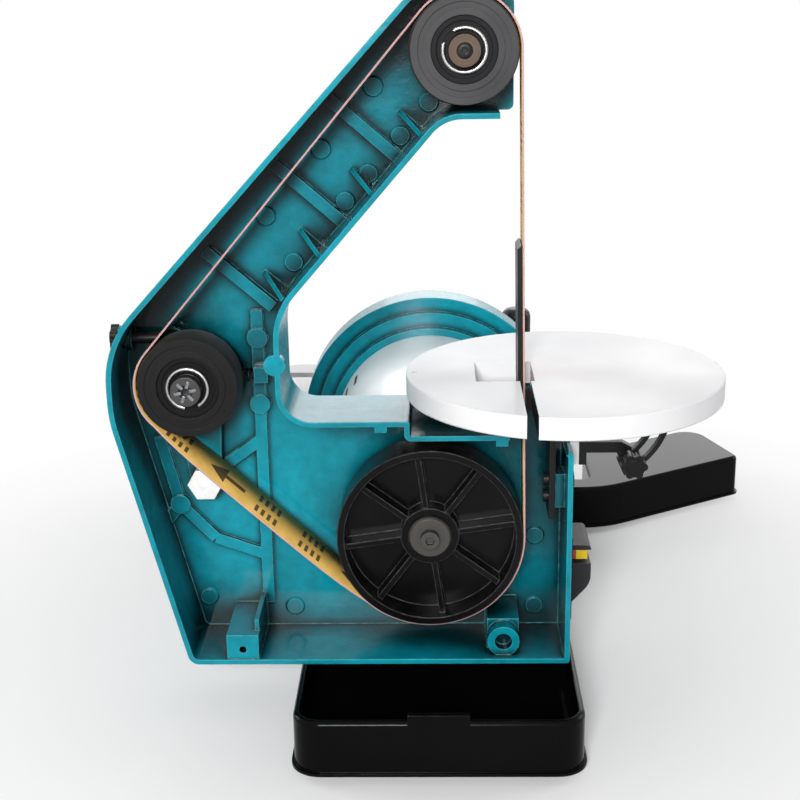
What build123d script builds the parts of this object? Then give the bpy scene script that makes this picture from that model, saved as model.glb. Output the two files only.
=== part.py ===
from build123d import *
import math
import os

# Belt and disc bench sander, in millimetres.
# Every piece is drawn about the motor shaft: the shaft is the Y axis, the drive wheel's outer face
# is Y = 0, +Y runs to the disc, +X is the side of the belt table and +Z is up.
# On export the machine is moved to the bench frame: the origin is the centre of the four bench bolts,
# on the plane that the rubber feet stand on.

# Fits
running_gap = 0.05
clear_gap = 0.3
hole_gap = 0.2

# Belt and the three wheels that it runs on
belt_width = 25.4
belt_thick = 1.2
drive_r = 63.5
drive_w = 30.0
drive_rim_t = 5.0
drive_spokes = 8
drive_spoke_t = 4.0
drive_web_t = 5.0
drive_hub_r = 20.0
drive_hub_inset = 6.0
drive_spoke_turn = -8.0
hub_washer_t = 4.0
hub_screw_len = 24.0
idler_r = 35.0
idler_w = 28.0
crown_drop = 1.6
top_x = 24.2
top_z = 323.9
track_x = -159.7
track_z = 108.2
axle_r = 10.0
axle_nose = 9.0
axle_centre_r = 4.5
axle_boss_t = 8.0
axle_nut_h = 9.0
idler_bearing_r = 21.0
idler_bearing_w = 12.0
ring_t = 1.5
ring_w = 4.5

# Belt housing casting
housing_front_y = -15.0
housing_depth = 56.0
housing_floor_t = 5.0
housing_wall = 3.5
housing_left = -210.0
housing_right = 95.0
housing_bottom = -86.0
housing_foot_x = -166.0
housing_bend_z = 92.0
housing_top_gap = 48.5
arm_angle = 48.8
arm_outer_gap = 48.0
arm_width = 65.0
arm_taper = 1.6
tip_drop = 40.5
tip_reach = 32.5
throat_x = -96.0
throat_z = 89.0
deck_step_x = -12.5
deck_z = 79.0
deck_end_x = 53.0
deck_corner = 14.0
back_plate_gap = 6.0
rib_t = 3.0
band_w = 8.0
arm_bands = (81.0, 137.0, 212.0)
arm_webs = (58.0, 107.0, 160.0, 198.0)
arm_web_reach = 20.0
arm_web_rise = 30.0
outer_pads = (57.0, 110.0, 168.0)
outer_pad_gap = 28.0
inner_pads = (41.0, 69.5, 102.0, 126.0, 180.0)
inner_pad_gap = -6.0
floor_pads = ((-98.0, -68.0), (74.0, -68.0), (74.0, -14.0), (-160.0, -60.0))
pad_r = 6.0
pad_h = 0.8
upright_x = -116.5
upright_low = -64.0
upright_high = 152.0
upright_bosses = (132.7, 85.5)
knuckle_x = -176.0
knuckle_z = 12.0
knuckle_r = 7.0
rib_low = 2.5
rib_high = 6.0
boss_r = 11.0
boss_x = 50.0
screw_post_x = -129.5
screw_post_w = 22.0
screw_post_h = 18.0
cover_tabs = (-31.5, 48.0)
cover_tab_w = 8.0
cover_tab_t = 6.0
throat_tab_z = 127.7
cover_screw_r = 2.5
cover_screw_depth = 14.0

# Motor
motor_r = 79.0
motor_len = 204.0
motor_wall = 5.0
bell_t = 16.0
shaft_r = 10.0
shaft_bearing_r = 23.5
shaft_bearing_w = 14.0
bearing_seat_t = 12.0
core_len = 98.0
core_r = 45.0
air_gap = 0.8
winding_len = 16.0
winding_inset = 5.0
winding_t = 15.0
bolt_circle_r = 50.0
bolt_r = 4.0
bolt_head_r = 6.5
bolt_head_h = 6.0

# Disc, shroud and disc table
disc_r = 101.6
disc_t = 8.0
disc_hub_r = 24.0
disc_hub_len = 20.0
set_screw_r = 3.0
paper_t = 1.2
shroud_wall = 4.0
shroud_gap = 2.0
shroud_step = 7.0
shroud_ring = 11.5
shroud_depth = 42.0
disc_stands_out = 4.0
disc_table_gap = 2.8
disc_table_half = 142.0
disc_table_depth = 154.0
disc_table_t = 8.0
disc_table_top = -2.0
disc_table_rib = 10.0
disc_table_corner = 12.0
table_rib_t = 6.0
table_rib_in = 40.0
slot_from_edge = 38.0
slot_w = 16.0
slot_depth = 7.0
trunnion_t = 6.0
trunnion_r = 58.0
trunnion_slot_r = 48.0
disc_pivot_drop = 17.0
disc_pivot_in = 5.0
disc_pin_r = 5.0
pin_head_t = 3.0
pin_head_lip = 2.5
disc_tilt = 45.0
disc_stud_angle = -100.0
bracket_x = 108.0
bracket_t = 6.0
lug_reach = 22.0
bracket_screw_r = 3.0
bracket_screw_len = 14.0
countersink_land = 0.5
stud_r = 4.0
stud_gap = 0.4
disc_knob_r = 13.0
disc_knob_h = 21.0

# Mitre gauge
mitre_x = 81.0
mitre_bar_len = 180.0
mitre_bar_ahead = 59.0
mitre_bar_gap = 0.25
mitre_head_r = 50.0
mitre_head_t = 8.0
mitre_scale_angle = 80.0
mitre_fence_t = 8.0
mitre_fence_len = 104.0
mitre_fence_h = 32.0
mitre_fence_back = 16.0
mitre_knob_r = 13.6
mitre_knob_z = 42.0
mitre_knob_h = 22.0
mitre_stem_r = 8.0
mitre_knob_crown_r = 8.0
mitre_knob_flutes = 6
mitre_flute_r = 4.0

# Belt table
table_r = 105.0
table_t = 15.0
table_edge_r = 1.2
table_top = 115.5
table_x = 90.0
table_y = 13.0
window_left = 31.0
window_right = 69.0
window_near = -13.0
window_far = 34.0
entry_w = 7.0
pivot_x = 109.0
pivot_drop = 8.5
pivot_r = 4.0
pivot_lug_r = 8.0
lug_t = 6.0
lug_gap = 1.0
post_w = 22.0
post_y = 11.0
post_t = 6.0
post_bottom = 49.5
table_tilt = 30.0
table_slot_r = 46.6
table_stud_r = 3.0
table_slot_w = 6.6
table_stud_angle = -54.6
table_arc_half = 6.2
table_arc_end = 11.0
table_arc_start = 30.0
lock_arm_t = 7.5
lock_arm_h = 7.5
lock_arm_rise = 4.0
post_bolt_r = 2.5
post_bolt_pitch = 9.4
post_bolt_in = 6.0
table_knob_r = 8.8
table_knob_h = 12.0
lock_nut_h = 6.0

# Platen behind the belt's upright run
platen_t = 3.0
platen_gap = 0.4
platen_w = 28.0
platen_bottom = 82.0
platen_top = 201.5
platen_tab_h = 14.0
platen_tab_t = 5.0
strap_x = 81.0
strap_t = 4.0
strap_gap = 2.5
strap_bottom = 12.0
strap_screws = (26.0, 38.0)
strap_lug_margin = 6.0
strap_screw_len = 8.0
strap_lug_w = 16.0
platen_screw_r = 2.5
platen_screw_head_r = 4.5
platen_skin = 1.2

# Tension arm and tracking knob
swing_x = -155.5
swing_z = 32.0
swing_arm_t = 6.0
swing_arm_gap = 2.0
swing_hub_r = 10.5
track_ear_x = -172.0
track_ear_r = 7.0
swing_bolt_r = 7.0
hex_across = 21.0
hex_h = 8.0
spring_r = 4.2
spring_wire_r = 0.7
spring_turns = 6
spring_len = 22.0
spring_lug_t = 9.5
spring_lug_half = 5.5
track_knob_r = 9.5
track_knob_h = 5.0
knob_lobes = 6
knob_seat = 0.6
track_boss_len = 10.0
track_screw_r = 4.0
track_screw_rise = 26.8

# Base, feet and motor foot
base_x = 5.0
base_half = 94.5
base_top = -86.0
base_h = 38.0
base_wall = 4.0
base_lip = 2.0
base_edge_r = 3.5
base_near_y = -95.0
base_corner_r = 18.0
wing_front_in = 12.0
wing_bar_w = 26.0
wing_bend_x = 158.0
wing_bend_r = 70.0
wing_tip_x = 297.0
wing_tip_run = 86.0
wing_tip_round = 8.0
wing_end_x = 268.0
wing_end_run = 174.0
wing_end_round = 20.0
wing_notch_x = 147.0
wing_back_run = 99.0
wing_back_round = 14.0
wing_inner_round = 8.0
wing_side_round = 6.0
back_wing_tip_x = -238.0
back_wing_tip_run = 60.0
back_wing_end_x = -225.0
back_wing_end_run = 144.0
tray_far_y = 38.0
tray_drop = 24.0
tray_tab_w = 40.0
tray_tab_h = 5.0
well_half = 74.0
well_near_y = 244.0
well_far_y = 302.0
foot_r = 11.0
foot_h = 6.0
wing_foot_inset = 34.0
bench_bolt_r = 4.5
bench_span_x = 150.0
bench_span_y = 402.0
bench_near_y = -64.0
saddle_half = 62.0
saddle_near_y = 100.0
saddle_len = 90.0
saddle_ear = 22.0
saddle_ear_t = 9.0
saddle_wrap = 30.0
foot_bolt_grip = 8.0

# Switch and electrics
switch_near_y = 54.0
switch_len = 64.0
switch_h = 64.0
switch_back_x = 86.0
switch_face_x = 102.5
switch_wall = 2.5
switch_plate_t = 3.0
bezel_len = 44.0
bezel_reach = 14.5
bezel_drop = 8.0
bezel_lip = 3.5
bezel_sweep = 24.0
bezel_round = 16.0
paddle_room = 2.0
paddle_z = -41.0
paddle_t = 7.0
paddle_reach = 3.5
paddle_pin_r = 2.0
paddle_pin_len = 3.0
key_len = 8.5
key_w = 16.0
key_t = 4.0
gland_r = 6.5
gland_len = 14.0
gland_lip = 2.0
gland_rise = 20.0
cap_box_len = 110.0
cap_box_h = 50.0
cap_box_out = 24.0
cap_box_wall = 2.5

# Stations along the shaft and other sizes worked out from the ones above
belt_mid_y = drive_w / 2
belt_near_y = belt_mid_y - belt_width / 2
belt_far_y = belt_mid_y + belt_width / 2
idler_near_y = belt_mid_y - idler_w / 2
idler_far_y = belt_mid_y + idler_w / 2
floor_y = housing_front_y + housing_depth
motor_face_y = floor_y + housing_floor_t
motor_rear_y = motor_face_y + motor_len
shroud_rim_y = motor_rear_y + shroud_depth
disc_face_y = shroud_rim_y + disc_stands_out
disc_back_y = disc_face_y - disc_t
paper_y = disc_face_y + paper_t
disc_table_y = paper_y + disc_table_gap
disc_pivot_y = disc_table_y + disc_pivot_in
disc_pivot_z = disc_table_top - disc_pivot_drop
slot_y = disc_table_y + disc_table_depth - slot_from_edge
trunnion_x = bracket_x + bracket_t + clear_gap
knob_x = trunnion_x + trunnion_t + 2 * clear_gap
shroud_r = disc_r + shroud_gap + shroud_wall
table_under = table_top - table_t
pivot_z = table_under - pivot_drop
lug_y = post_y - lug_gap - lug_t
far_lug_y = post_y + post_w + lug_gap
lock_x = pivot_x + table_slot_r * math.cos(math.radians(table_stud_angle))
lock_z = pivot_z + table_slot_r * math.sin(math.radians(table_stud_angle))
disc_stud_y = disc_pivot_y + trunnion_slot_r * math.cos(math.radians(disc_stud_angle))
disc_stud_z = disc_pivot_z + trunnion_slot_r * math.sin(math.radians(disc_stud_angle))
swing_arm_y = idler_far_y + swing_arm_gap
base_bottom = base_top - base_h
bench_mid_y = bench_near_y + bench_span_y / 2
bench_far_y = bench_near_y + bench_span_y
wing_y = bench_far_y - wing_front_in
wing_tip_y = wing_y + wing_tip_run
wing_end_y = wing_y + wing_end_run
wing_back_y = wing_y + wing_back_run
back_wing_tip_y = wing_y + back_wing_tip_run
back_wing_end_y = wing_y + back_wing_end_run
track_screw_y = swing_arm_y + swing_arm_t / 2
track_screw_z = track_z + track_screw_rise

to_bench = Pos(-base_x, -bench_mid_y, foot_h - base_bottom)
wheels = ((0.0, 0.0, drive_r), (top_x, top_z, idler_r), (track_x, track_z, idler_r))


def block(x0, x1, y0, y1, z0, z1):
    """A box between two corners."""
    middle = Pos((x0 + x1) / 2, (y0 + y1) / 2, (z0 + z1) / 2)
    return middle * Box(abs(x1 - x0), abs(y1 - y0), abs(z1 - z0))


def rod_x(radius, x0, x1, y, z):
    """A round bar along X."""
    return Pos((x0 + x1) / 2, y, z) * Rot(0, 90, 0) * Cylinder(radius, abs(x1 - x0))


def rod_y(radius, y0, y1, x=0.0, z=0.0):
    """A round bar along Y."""
    return Pos(x, (y0 + y1) / 2, z) * Rot(90, 0, 0) * Cylinder(radius, abs(y1 - y0))


def rod_z(radius, z0, z1, x, y):
    """A round bar along Z."""
    return Pos(x, y, (z0 + z1) / 2) * Cylinder(radius, abs(z1 - z0))


def ring_y(outer, inner, y0, y1, x=0.0, z=0.0):
    """A tube along Y."""
    return rod_y(outer, y0, y1, x, z) - rod_y(inner, y0, y1, x, z)


def plate_y(face, y0, y1):
    """A flat outline in X and Z made into a plate from y0 to y1."""
    return extrude(Plane.XZ.offset(-y0) * face, amount=y1 - y0, dir=(0, 1, 0))


def plate_x(face, x0, x1):
    """A flat outline in Y and Z made into a plate from x0 to x1."""
    return extrude(Plane.YZ.offset(x0) * face, amount=x1 - x0, dir=(1, 0, 0))


def turned(points):
    """A solid turned about the Y axis from an outline of (radius, y) points."""
    return revolve(make_face(Polyline(*points, close=True)), Axis.Y)


def rounded(corners):
    """A closed outline from (x, y, corner radius) points."""
    points = [(x, y) for x, y, _ in corners]
    radii = [r for _, _, r in corners]
    return make_face(FilletPolyline(*points, radius=radii, close=True))


def disc_face(x, y, radius):
    """A round outline about (x, y)."""
    return Pos(x, y) * Circle(radius)


def hull(*circles):
    """The outline of a band stretched round (x, y, radius) circles."""
    edges = ShapeList()
    for circle in circles:
        edges += disc_face(*circle).edges()
    return make_hull(edges)


def arc_slot(x, y, radius, width, start, end):
    """A curved slot about (x, y), from one angle to another."""
    span = CenterArc((x, y), radius, start, end - start)
    ends = [disc_face((span @ t).X, (span @ t).Y, width / 2) for t in (0, 1)]
    ring = disc_face(x, y, radius + width / 2) - disc_face(x, y, radius - width / 2)
    return (ring & sector(x, y, 2 * radius, start, end)) + ends


def sector(x, y, radius, start, end):
    """A pie slice about (x, y) between two angles less than 180 degrees apart."""
    middle = math.radians((start + end) / 2)
    first = (x + radius * math.cos(math.radians(start)), y + radius * math.sin(math.radians(start)))
    far = (x + radius * math.cos(middle), y + radius * math.sin(middle))
    last = (x + radius * math.cos(math.radians(end)), y + radius * math.sin(math.radians(end)))
    outline = Curve() + [Line((x, y), first), ThreePointArc(first, far, last), Line(last, (x, y))]
    return make_face(outline)


def lobed(radius, lobes, height):
    """A hand knob with rounded lobes, standing on Z = 0."""
    lobe_r = radius * 0.3
    face = Circle(radius * 0.8)
    for spot in PolarLocations(radius - lobe_r, lobes):
        face += spot * Circle(lobe_r)
    body = extrude(face, amount=height)
    return body + Pos(0, 0, height) * Cylinder(radius * 0.55, 2.0)


def hex_bolt(across, head_h, shank_r, shank_len):
    """A hexagon bolt whose head stands on Z = 0 with its shank below."""
    head = extrude(RegularPolygon(across / 2, 6, major_radius=False), amount=head_h)
    return head + Pos(0, 0, -shank_len / 2) * Cylinder(shank_r, shank_len)


def cap_screw(head_r, head_h, shank_r, shank_len):
    """A socket screw whose head stands on Z = 0 with its shank below."""
    head = Pos(0, 0, head_h / 2) * Cylinder(head_r, head_h)
    socket = extrude(Pos(0, 0, head_h / 2) * RegularPolygon(head_r * 0.5, 6), amount=head_h)
    return head - socket + Pos(0, 0, -shank_len / 2) * Cylinder(shank_r, shank_len)


def facing_belt_end(y, x=0.0, z=0.0):
    """The place of a screw that is driven from the belt end, with its seat at y."""
    return Pos(x, y, z) * Rot(90, 0, 0)


def facing_disc_end(y, x=0.0, z=0.0):
    """The place of a screw that is driven from the disc end, with its seat at y."""
    return Pos(x, y, z) * Rot(-90, 0, 0)


def facing_side(side, x, y, z):
    """The place of a piece that stands out along X, on the +1 or -1 side of the machine."""
    return Pos(side * x, y, z) * Rot(0, side * 90, 0)


def polar_xz(radius, angle, x=0.0, z=0.0):
    """A point at an angle round a Y axis."""
    return x + radius * math.cos(math.radians(angle)), z + radius * math.sin(math.radians(angle))


def belt_loop(grow):
    """The outline of a band stretched round the three wheels, grown by a distance."""
    return hull(*[(x, z, r + grow) for x, z, r in wheels])


def run_angle():
    """The lean of the belt's upright run from the vertical, in degrees, top towards the arm."""
    reach = math.hypot(top_x, top_z)
    return math.degrees(math.asin((drive_r - idler_r) / reach) - math.atan2(top_x, top_z))


def run_x(z):
    """Where the belt's inner face is on its upright run, at a height."""
    lean = math.radians(run_angle())
    return (drive_r + clear_gap) / math.cos(lean) - z * math.tan(lean)


def abrasive_belt():
    loop = belt_loop(clear_gap + belt_thick) - belt_loop(clear_gap)
    return plate_y(loop, belt_near_y, belt_far_y)


def drive_wheel():
    rim = ring_y(drive_r, drive_r - drive_rim_t, 0, drive_w)
    web_y = drive_w * 2 / 3
    web = ring_y(drive_r - drive_rim_t / 2, shaft_r, web_y, web_y + drive_web_t)
    hub = ring_y(drive_hub_r, shaft_r, drive_hub_inset, drive_w + drive_hub_inset - 2)
    wheel = rim + web + hub
    spoke = block(drive_hub_r - 2, drive_r - drive_rim_t / 2, drive_hub_inset + 1, web_y + 1,
                  -drive_spoke_t / 2, drive_spoke_t / 2)
    for i in range(drive_spokes):
        wheel += Rot(0, drive_spoke_turn + i * 360 / drive_spokes, 0) * spoke
    return wheel


def hub_washer():
    near = drive_hub_inset - hub_washer_t
    washer = rod_y(drive_hub_r * 0.75, near, drive_hub_inset)
    washer = chamfer(washer.edges().sort_by(Axis.Y)[0], 1.5)
    return washer - rod_y(bolt_r + hole_gap, near, drive_hub_inset)


def hub_screw():
    screw = cap_screw(bolt_head_r, bolt_head_h, bolt_r, hub_screw_len)
    return facing_belt_end(drive_hub_inset - hub_washer_t) * screw


def motor_shaft():
    shaft = rod_y(shaft_r, drive_hub_inset, disc_back_y)
    return shaft - rod_y(bolt_r, drive_hub_inset, drive_hub_inset + hub_screw_len)


def idler(x, z):
    """One crowned wheel with a bore for its two bearings."""
    half = idler_w / 2
    edge_r = idler_r - crown_drop
    crown = ThreePointArc((edge_r, -half), (idler_r, 0), (edge_r, half))
    bore = Polyline((edge_r, half), (idler_bearing_r, half), (idler_bearing_r, -half), (edge_r, -half))
    wheel = revolve(make_face(Curve() + [crown, bore]), Axis.Y)
    groove = ring_y(idler_r - 6, idler_bearing_r + 4, -half, -half + 1.2)
    return Pos(x, belt_mid_y, z) * (wheel - groove)


def idler_bearings(x, z):
    """The two ball bearings in one crowned wheel."""
    inset = (idler_w - 2 * idler_bearing_w) / 2
    rings = []
    for y in (idler_near_y + inset, belt_mid_y):
        race = ring_y(idler_bearing_r, axle_r + running_gap, y, y + idler_bearing_w, x, z)
        rings.append(race - ring_y(idler_bearing_r - 3.5, axle_r + 4, y, y + 0.6, x, z))
    return Compound(rings)


def idler_axle(x, z, end_y):
    """A fixed axle with a turned groove for its retaining ring and a centre hole in its nose."""
    nose_y = idler_near_y - axle_nose
    axle = rod_y(axle_r, nose_y, end_y, x, z)
    axle -= rod_y(axle_centre_r, nose_y, nose_y + 8, x, z)
    return axle - ring_y(axle_r, axle_r - 1, idler_near_y - ring_t, idler_near_y, x, z)


def retaining_ring(x, z):
    """An open spring ring in the axle's groove."""
    ring = ring_y(axle_r + ring_w, axle_r - 1, idler_near_y - ring_t, idler_near_y, x, z)
    mouth = block(-ring_w, ring_w, idler_near_y - ring_t, idler_near_y, 0, 2 * axle_r)
    return ring - Pos(x, 0, z) * Rot(0, -45, 0) * mouth


def line_meet(p, angle_p, q, angle_q):
    """Where two lines cross, each given by a point and an angle in degrees."""
    px, pz = p
    qx, qz = q
    ax, az = math.cos(math.radians(angle_p)), math.sin(math.radians(angle_p))
    bx, bz = math.cos(math.radians(angle_q)), math.sin(math.radians(angle_q))
    t = ((qx - px) * bz - (qz - pz) * bx) / (ax * bz - az * bx)
    return px + t * ax, pz + t * az


def arm_point(offset):
    """A point on a line along the arm, at a distance to the left of the top wheel's axis."""
    return polar_xz(offset, arm_angle + 90, top_x, top_z)


def housing_outline():
    """The belt housing seen from the belt end: foot, right wall, deck, throat, arm, tip and back."""
    top = top_z + housing_top_gap
    tip_z = top_z - tip_drop
    tip_x = top_x + tip_reach
    inner = arm_point(arm_outer_gap - arm_width)
    outer = arm_point(arm_outer_gap)
    outer_angle = arm_angle - arm_taper
    throat_bend = line_meet((throat_x, 0), 90, inner, arm_angle)
    tip_bend = line_meet((0, tip_z), 0, inner, arm_angle)
    crest = line_meet((0, top), 0, outer, outer_angle)
    shoulder = line_meet((housing_left, 0), 90, outer, outer_angle)
    return rounded([
        (housing_foot_x, housing_bottom, 8),
        (housing_right, housing_bottom, 2),
        (housing_right, deck_z - deck_corner, 2),
        (housing_right - deck_corner, deck_z, 4),
        (deck_step_x, deck_z, 1),
        (deck_step_x, throat_z, 1),
        (throat_x, throat_z, 20),
        (*throat_bend, 45),
        (*tip_bend, 24),
        (tip_x, tip_z, 4),
        (tip_x, top, 24),
        (*crest, 60),
        (*shoulder, 70),
        (housing_left, housing_bend_z, 90),
    ])


def floor_rib(x0, z0, x1, z1, height, width):
    """A straight rib on the housing floor between two points."""
    length = math.hypot(x1 - x0, z1 - z0)
    angle = math.degrees(math.atan2(z1 - z0, x1 - x0))
    rib = block(-length / 2, length / 2, floor_y - height, floor_y, -width / 2, width / 2)
    return Pos((x0 + x1) / 2, 0, (z0 + z1) / 2) * Rot(0, -angle, 0) * rib


def belt_housing():
    outline = housing_outline()
    inside = offset(outline, amount=-housing_wall)
    shell = plate_y(outline, housing_front_y, motor_face_y) - plate_y(inside, housing_front_y, floor_y)
    top = top_z + housing_top_gap
    tip_x = top_x + tip_reach
    shell -= block(tip_x - 11, tip_x + 1, housing_front_y, floor_y, top_z - tip_drop - 1, top - 8)
    wall_x = housing_right - housing_wall
    shell -= block(deck_end_x, wall_x, housing_front_y, floor_y, deck_z - deck_corner, deck_z + 1)
    shell += block(deck_step_x, wall_x, floor_y, motor_face_y, deck_z - 20, table_under - back_plate_gap)
    shell += housing_ribs()
    shell += rod_y(axle_r + axle_boss_t, idler_far_y + swing_arm_gap, floor_y, top_x, top_z)
    shell += rod_y(swing_hub_r, swing_arm_y + swing_arm_t + clear_gap, floor_y, swing_x, swing_z)
    shell += spring_lug()
    shell += rod_x(track_knob_r - 1, housing_left + knob_seat, housing_left + track_boss_len,
                   track_screw_y, track_screw_z)
    shell += strap_lug()
    shell -= housing_holes()
    return shell


def housing_ribs():
    """Ribs, moulding pads, cover bosses and cover tabs inside the belt housing."""
    ribs = floor_rib(upright_x, upright_low, upright_x, upright_high, rib_low, band_w)
    ribs += floor_rib(upright_x, swing_z + 28, swing_x, swing_z, rib_low, band_w)
    bend_x = (upright_x + knuckle_x) / 2 - 6
    bend_z = knuckle_z - 26
    ribs += floor_rib(knuckle_x, knuckle_z, bend_x, bend_z, rib_low, band_w)
    ribs += floor_rib(bend_x, bend_z, upright_x, knuckle_z - 39, rib_low, band_w)
    ribs += floor_rib(knuckle_x, knuckle_z, housing_left + 22, knuckle_z + 50, rib_low, band_w)
    ribs += floor_rib(knuckle_x, knuckle_z, housing_left + 24, knuckle_z - 12, rib_low, band_w)
    for x, z in [(upright_x, z) for z in upright_bosses] + [(knuckle_x, knuckle_z)]:
        ribs += rod_y(knuckle_r, floor_y - rib_low - 1, floor_y, x, z)
    inner = arm_outer_gap - arm_width + housing_wall - 1
    outer = arm_outer_gap - housing_wall
    for along in arm_bands:
        ribs += floor_rib(*arm_at(along, inner), *arm_at(along, outer), rib_high, band_w)
    for along in arm_webs:
        ribs += arm_web(along, inner)
    pads = [arm_at(along, outer_pad_gap) for along in outer_pads]
    pads += [arm_at(along, inner_pad_gap) for along in inner_pads]
    for x, z in pads + list(floor_pads):
        ribs += rod_y(pad_r, floor_y - pad_h, floor_y, x, z)
    return ribs + cover_bosses()


def cover_bosses():
    """The screw post, round boss and small tabs that a side cover would fasten to."""
    foot = housing_bottom + housing_wall
    x0 = screw_post_x - screw_post_w / 2
    x1 = screw_post_x + screw_post_w / 2
    bosses = block(x0, x1, housing_front_y + 1, floor_y, foot - 1, foot + screw_post_h)
    bosses += block(x1 - rib_t, x1, housing_front_y + 8, floor_y, foot, upright_low + band_w)
    bosses += rod_y(boss_r, housing_front_y + 6, floor_y, boss_x, foot + boss_r - 1)
    bosses += block(boss_x - boss_r, boss_x + boss_r, belt_near_y, floor_y, foot - 1, foot + 2 * boss_r)
    tab_y = housing_front_y + cover_tab_t
    half = cover_tab_w / 2
    for x, z in ((cover_tabs[0], throat_z - housing_wall), (cover_tabs[1], deck_z - housing_wall)):
        bosses += block(x - half, x + half, housing_front_y, tab_y, z - half, z + 1)
    return bosses + rod_y(knuckle_r, housing_front_y, tab_y, throat_x - housing_wall, throat_tab_z)


def arm_at(along, across):
    """A point in the arm: down from the top wheel, and out from its centre line."""
    x, z = arm_point(across)
    return x - along * math.cos(math.radians(arm_angle)), z - along * math.sin(math.radians(arm_angle))


def arm_web(along, across):
    """A three-cornered web that stiffens the arm's lower wall against the floor."""
    x, z = arm_at(along, across)
    corners = ((0, floor_y), (0, floor_y - arm_web_rise), (arm_web_reach, floor_y))
    solid = extrude(make_face(Polyline(*corners, close=True)), amount=rib_t / 2, both=True)
    return Pos(x, 0, z) * Rot(0, -(arm_angle + 90), 0) * solid


def spring_lug():
    """The fixed seat of the tension spring on the housing floor."""
    x = spring_start() + spring_len + clear_gap
    half = spring_lug_half
    return block(x, x + spring_lug_t, track_screw_y - 3, floor_y, track_z - half, track_z + half)


def spring_start():
    """Where the tension spring begins: at the tension arm's edge beside the tracking axle."""
    return track_x + axle_r + axle_boss_t + clear_gap


def strap_lug():
    """The lug on the right wall that the platen's strap is screwed to."""
    low = strap_screws[0] - strap_lug_margin
    high = strap_screws[1] + strap_lug_margin
    half = strap_lug_w / 2
    wall_x = housing_right - housing_wall + 1
    return block(strap_x + strap_t, wall_x, belt_mid_y - half, belt_mid_y + half, low, high)


def housing_holes():
    """Holes through the belt housing for the shaft, axle, screws and cover fasteners."""
    holes = rod_y(shaft_r + 8, floor_y, motor_face_y)
    holes += rod_y(axle_r, idler_far_y, motor_face_y, top_x, top_z)
    holes += rod_y(swing_bolt_r, swing_arm_y, motor_face_y, swing_x, swing_z)
    for spot in bolt_spots():
        holes += rod_y(bolt_r + hole_gap, floor_y - 1, motor_face_y, *spot)
    inside = housing_left + track_boss_len + 1
    holes += rod_x(track_screw_r + running_gap, housing_left - 1, inside, track_screw_y, track_screw_z)
    foot = housing_bottom + housing_wall
    screw_y = housing_front_y + cover_screw_depth
    holes += rod_y(cover_screw_r, housing_front_y, screw_y, screw_post_x, foot + screw_post_h * 0.4)
    holes += rod_y(boss_r - 5, housing_front_y, screw_y, boss_x, foot + boss_r - 1)
    for z in post_bolt_heights():
        holes += rod_x(post_bolt_r, housing_right - housing_wall, housing_right, post_bolt_y(), z)
    for z in strap_screws:
        seat = strap_x + strap_t
        holes += rod_x(platen_screw_r, seat, seat + strap_screw_len, belt_mid_y, z)
    return holes


def bolt_spots():
    """The four screws round the shaft that join the motor to a casting."""
    return [polar_xz(bolt_circle_r, 45 + 90 * i) for i in range(4)]


def post_bolt_heights():
    """Heights of the two bolts that hold the belt table's post to the housing's wall."""
    low = post_bottom + post_bolt_pitch / 2
    return low, low + post_bolt_pitch


def post_bolt_y():
    """The two bolts stand beside the lock arm, at the post's far edge."""
    return post_y + post_w - post_bolt_in


def motor_bolts():
    """The eight equal screws that hold the belt housing and the disc shroud to the motor."""
    screw = cap_screw(bolt_head_r, bolt_head_h, bolt_r, bell_t + 2)
    screws = [facing_belt_end(floor_y, x, z) * screw for x, z in bolt_spots()]
    screws += [facing_disc_end(motor_rear_y + shroud_wall, x, z) * screw for x, z in bolt_spots()]
    return Compound(screws)


def end_bells():
    return Compound([end_bell(motor_face_y, 1), end_bell(motor_rear_y, -1)])


def end_bell(outer_y, inward):
    """One motor end bell with its bearing seat, from its outer face at outer_y along inward."""
    inner_y = outer_y + inward * bell_t
    bell = rod_y(motor_r, outer_y, inner_y)
    seat_end = inner_y + inward * bearing_seat_t
    bell += rod_y(shaft_bearing_r + 6, inner_y - inward, seat_end)
    bell -= rod_y(shaft_bearing_r, seat_end - inward * shaft_bearing_w, seat_end + inward)
    bell -= rod_y(shaft_r + 2, outer_y - inward, seat_end + inward)
    for x, z in bolt_spots():
        bell -= rod_y(bolt_r, outer_y, outer_y + inward * (bell_t - 2), x, z)
    return bell


def shaft_bearings():
    seat = bell_t + bearing_seat_t
    bore_r = shaft_r + running_gap
    front_y = motor_face_y + seat - shaft_bearing_w
    rear_y = motor_rear_y - seat
    return Compound([ring_y(shaft_bearing_r, bore_r, y, y + shaft_bearing_w) for y in (front_y, rear_y)])


def motor_shell():
    return ring_y(motor_r, motor_r - motor_wall, motor_face_y + bell_t, motor_rear_y - bell_t)


def core_start():
    """Where the stator and rotor cores begin along the shaft."""
    return (motor_face_y + motor_rear_y - core_len) / 2


def motor_stator():
    return ring_y(motor_r - motor_wall, core_r, core_start(), core_start() + core_len)


def motor_windings():
    ends = (core_start() - winding_len, core_start() + core_len)
    inner = core_r + winding_inset
    return Compound([ring_y(inner + winding_t, inner, y, y + winding_len) for y in ends])


def motor_rotor():
    return ring_y(core_r - air_gap, shaft_r, core_start(), core_start() + core_len)


def motor_foot():
    half = saddle_half
    far_y = saddle_near_y + saddle_len
    foot = block(-half, half, saddle_near_y, far_y, base_top, base_top + saddle_wrap)
    ear_x = half + saddle_ear
    foot += block(-ear_x, ear_x, saddle_near_y, far_y, base_top, base_top + saddle_ear_t)
    foot -= rod_y(motor_r, saddle_near_y - 1, far_y + 1)
    for x, y in foot_bolt_spots():
        foot -= rod_z(bolt_r + hole_gap, base_top, base_top + saddle_ear_t, x, y)
    return foot


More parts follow.
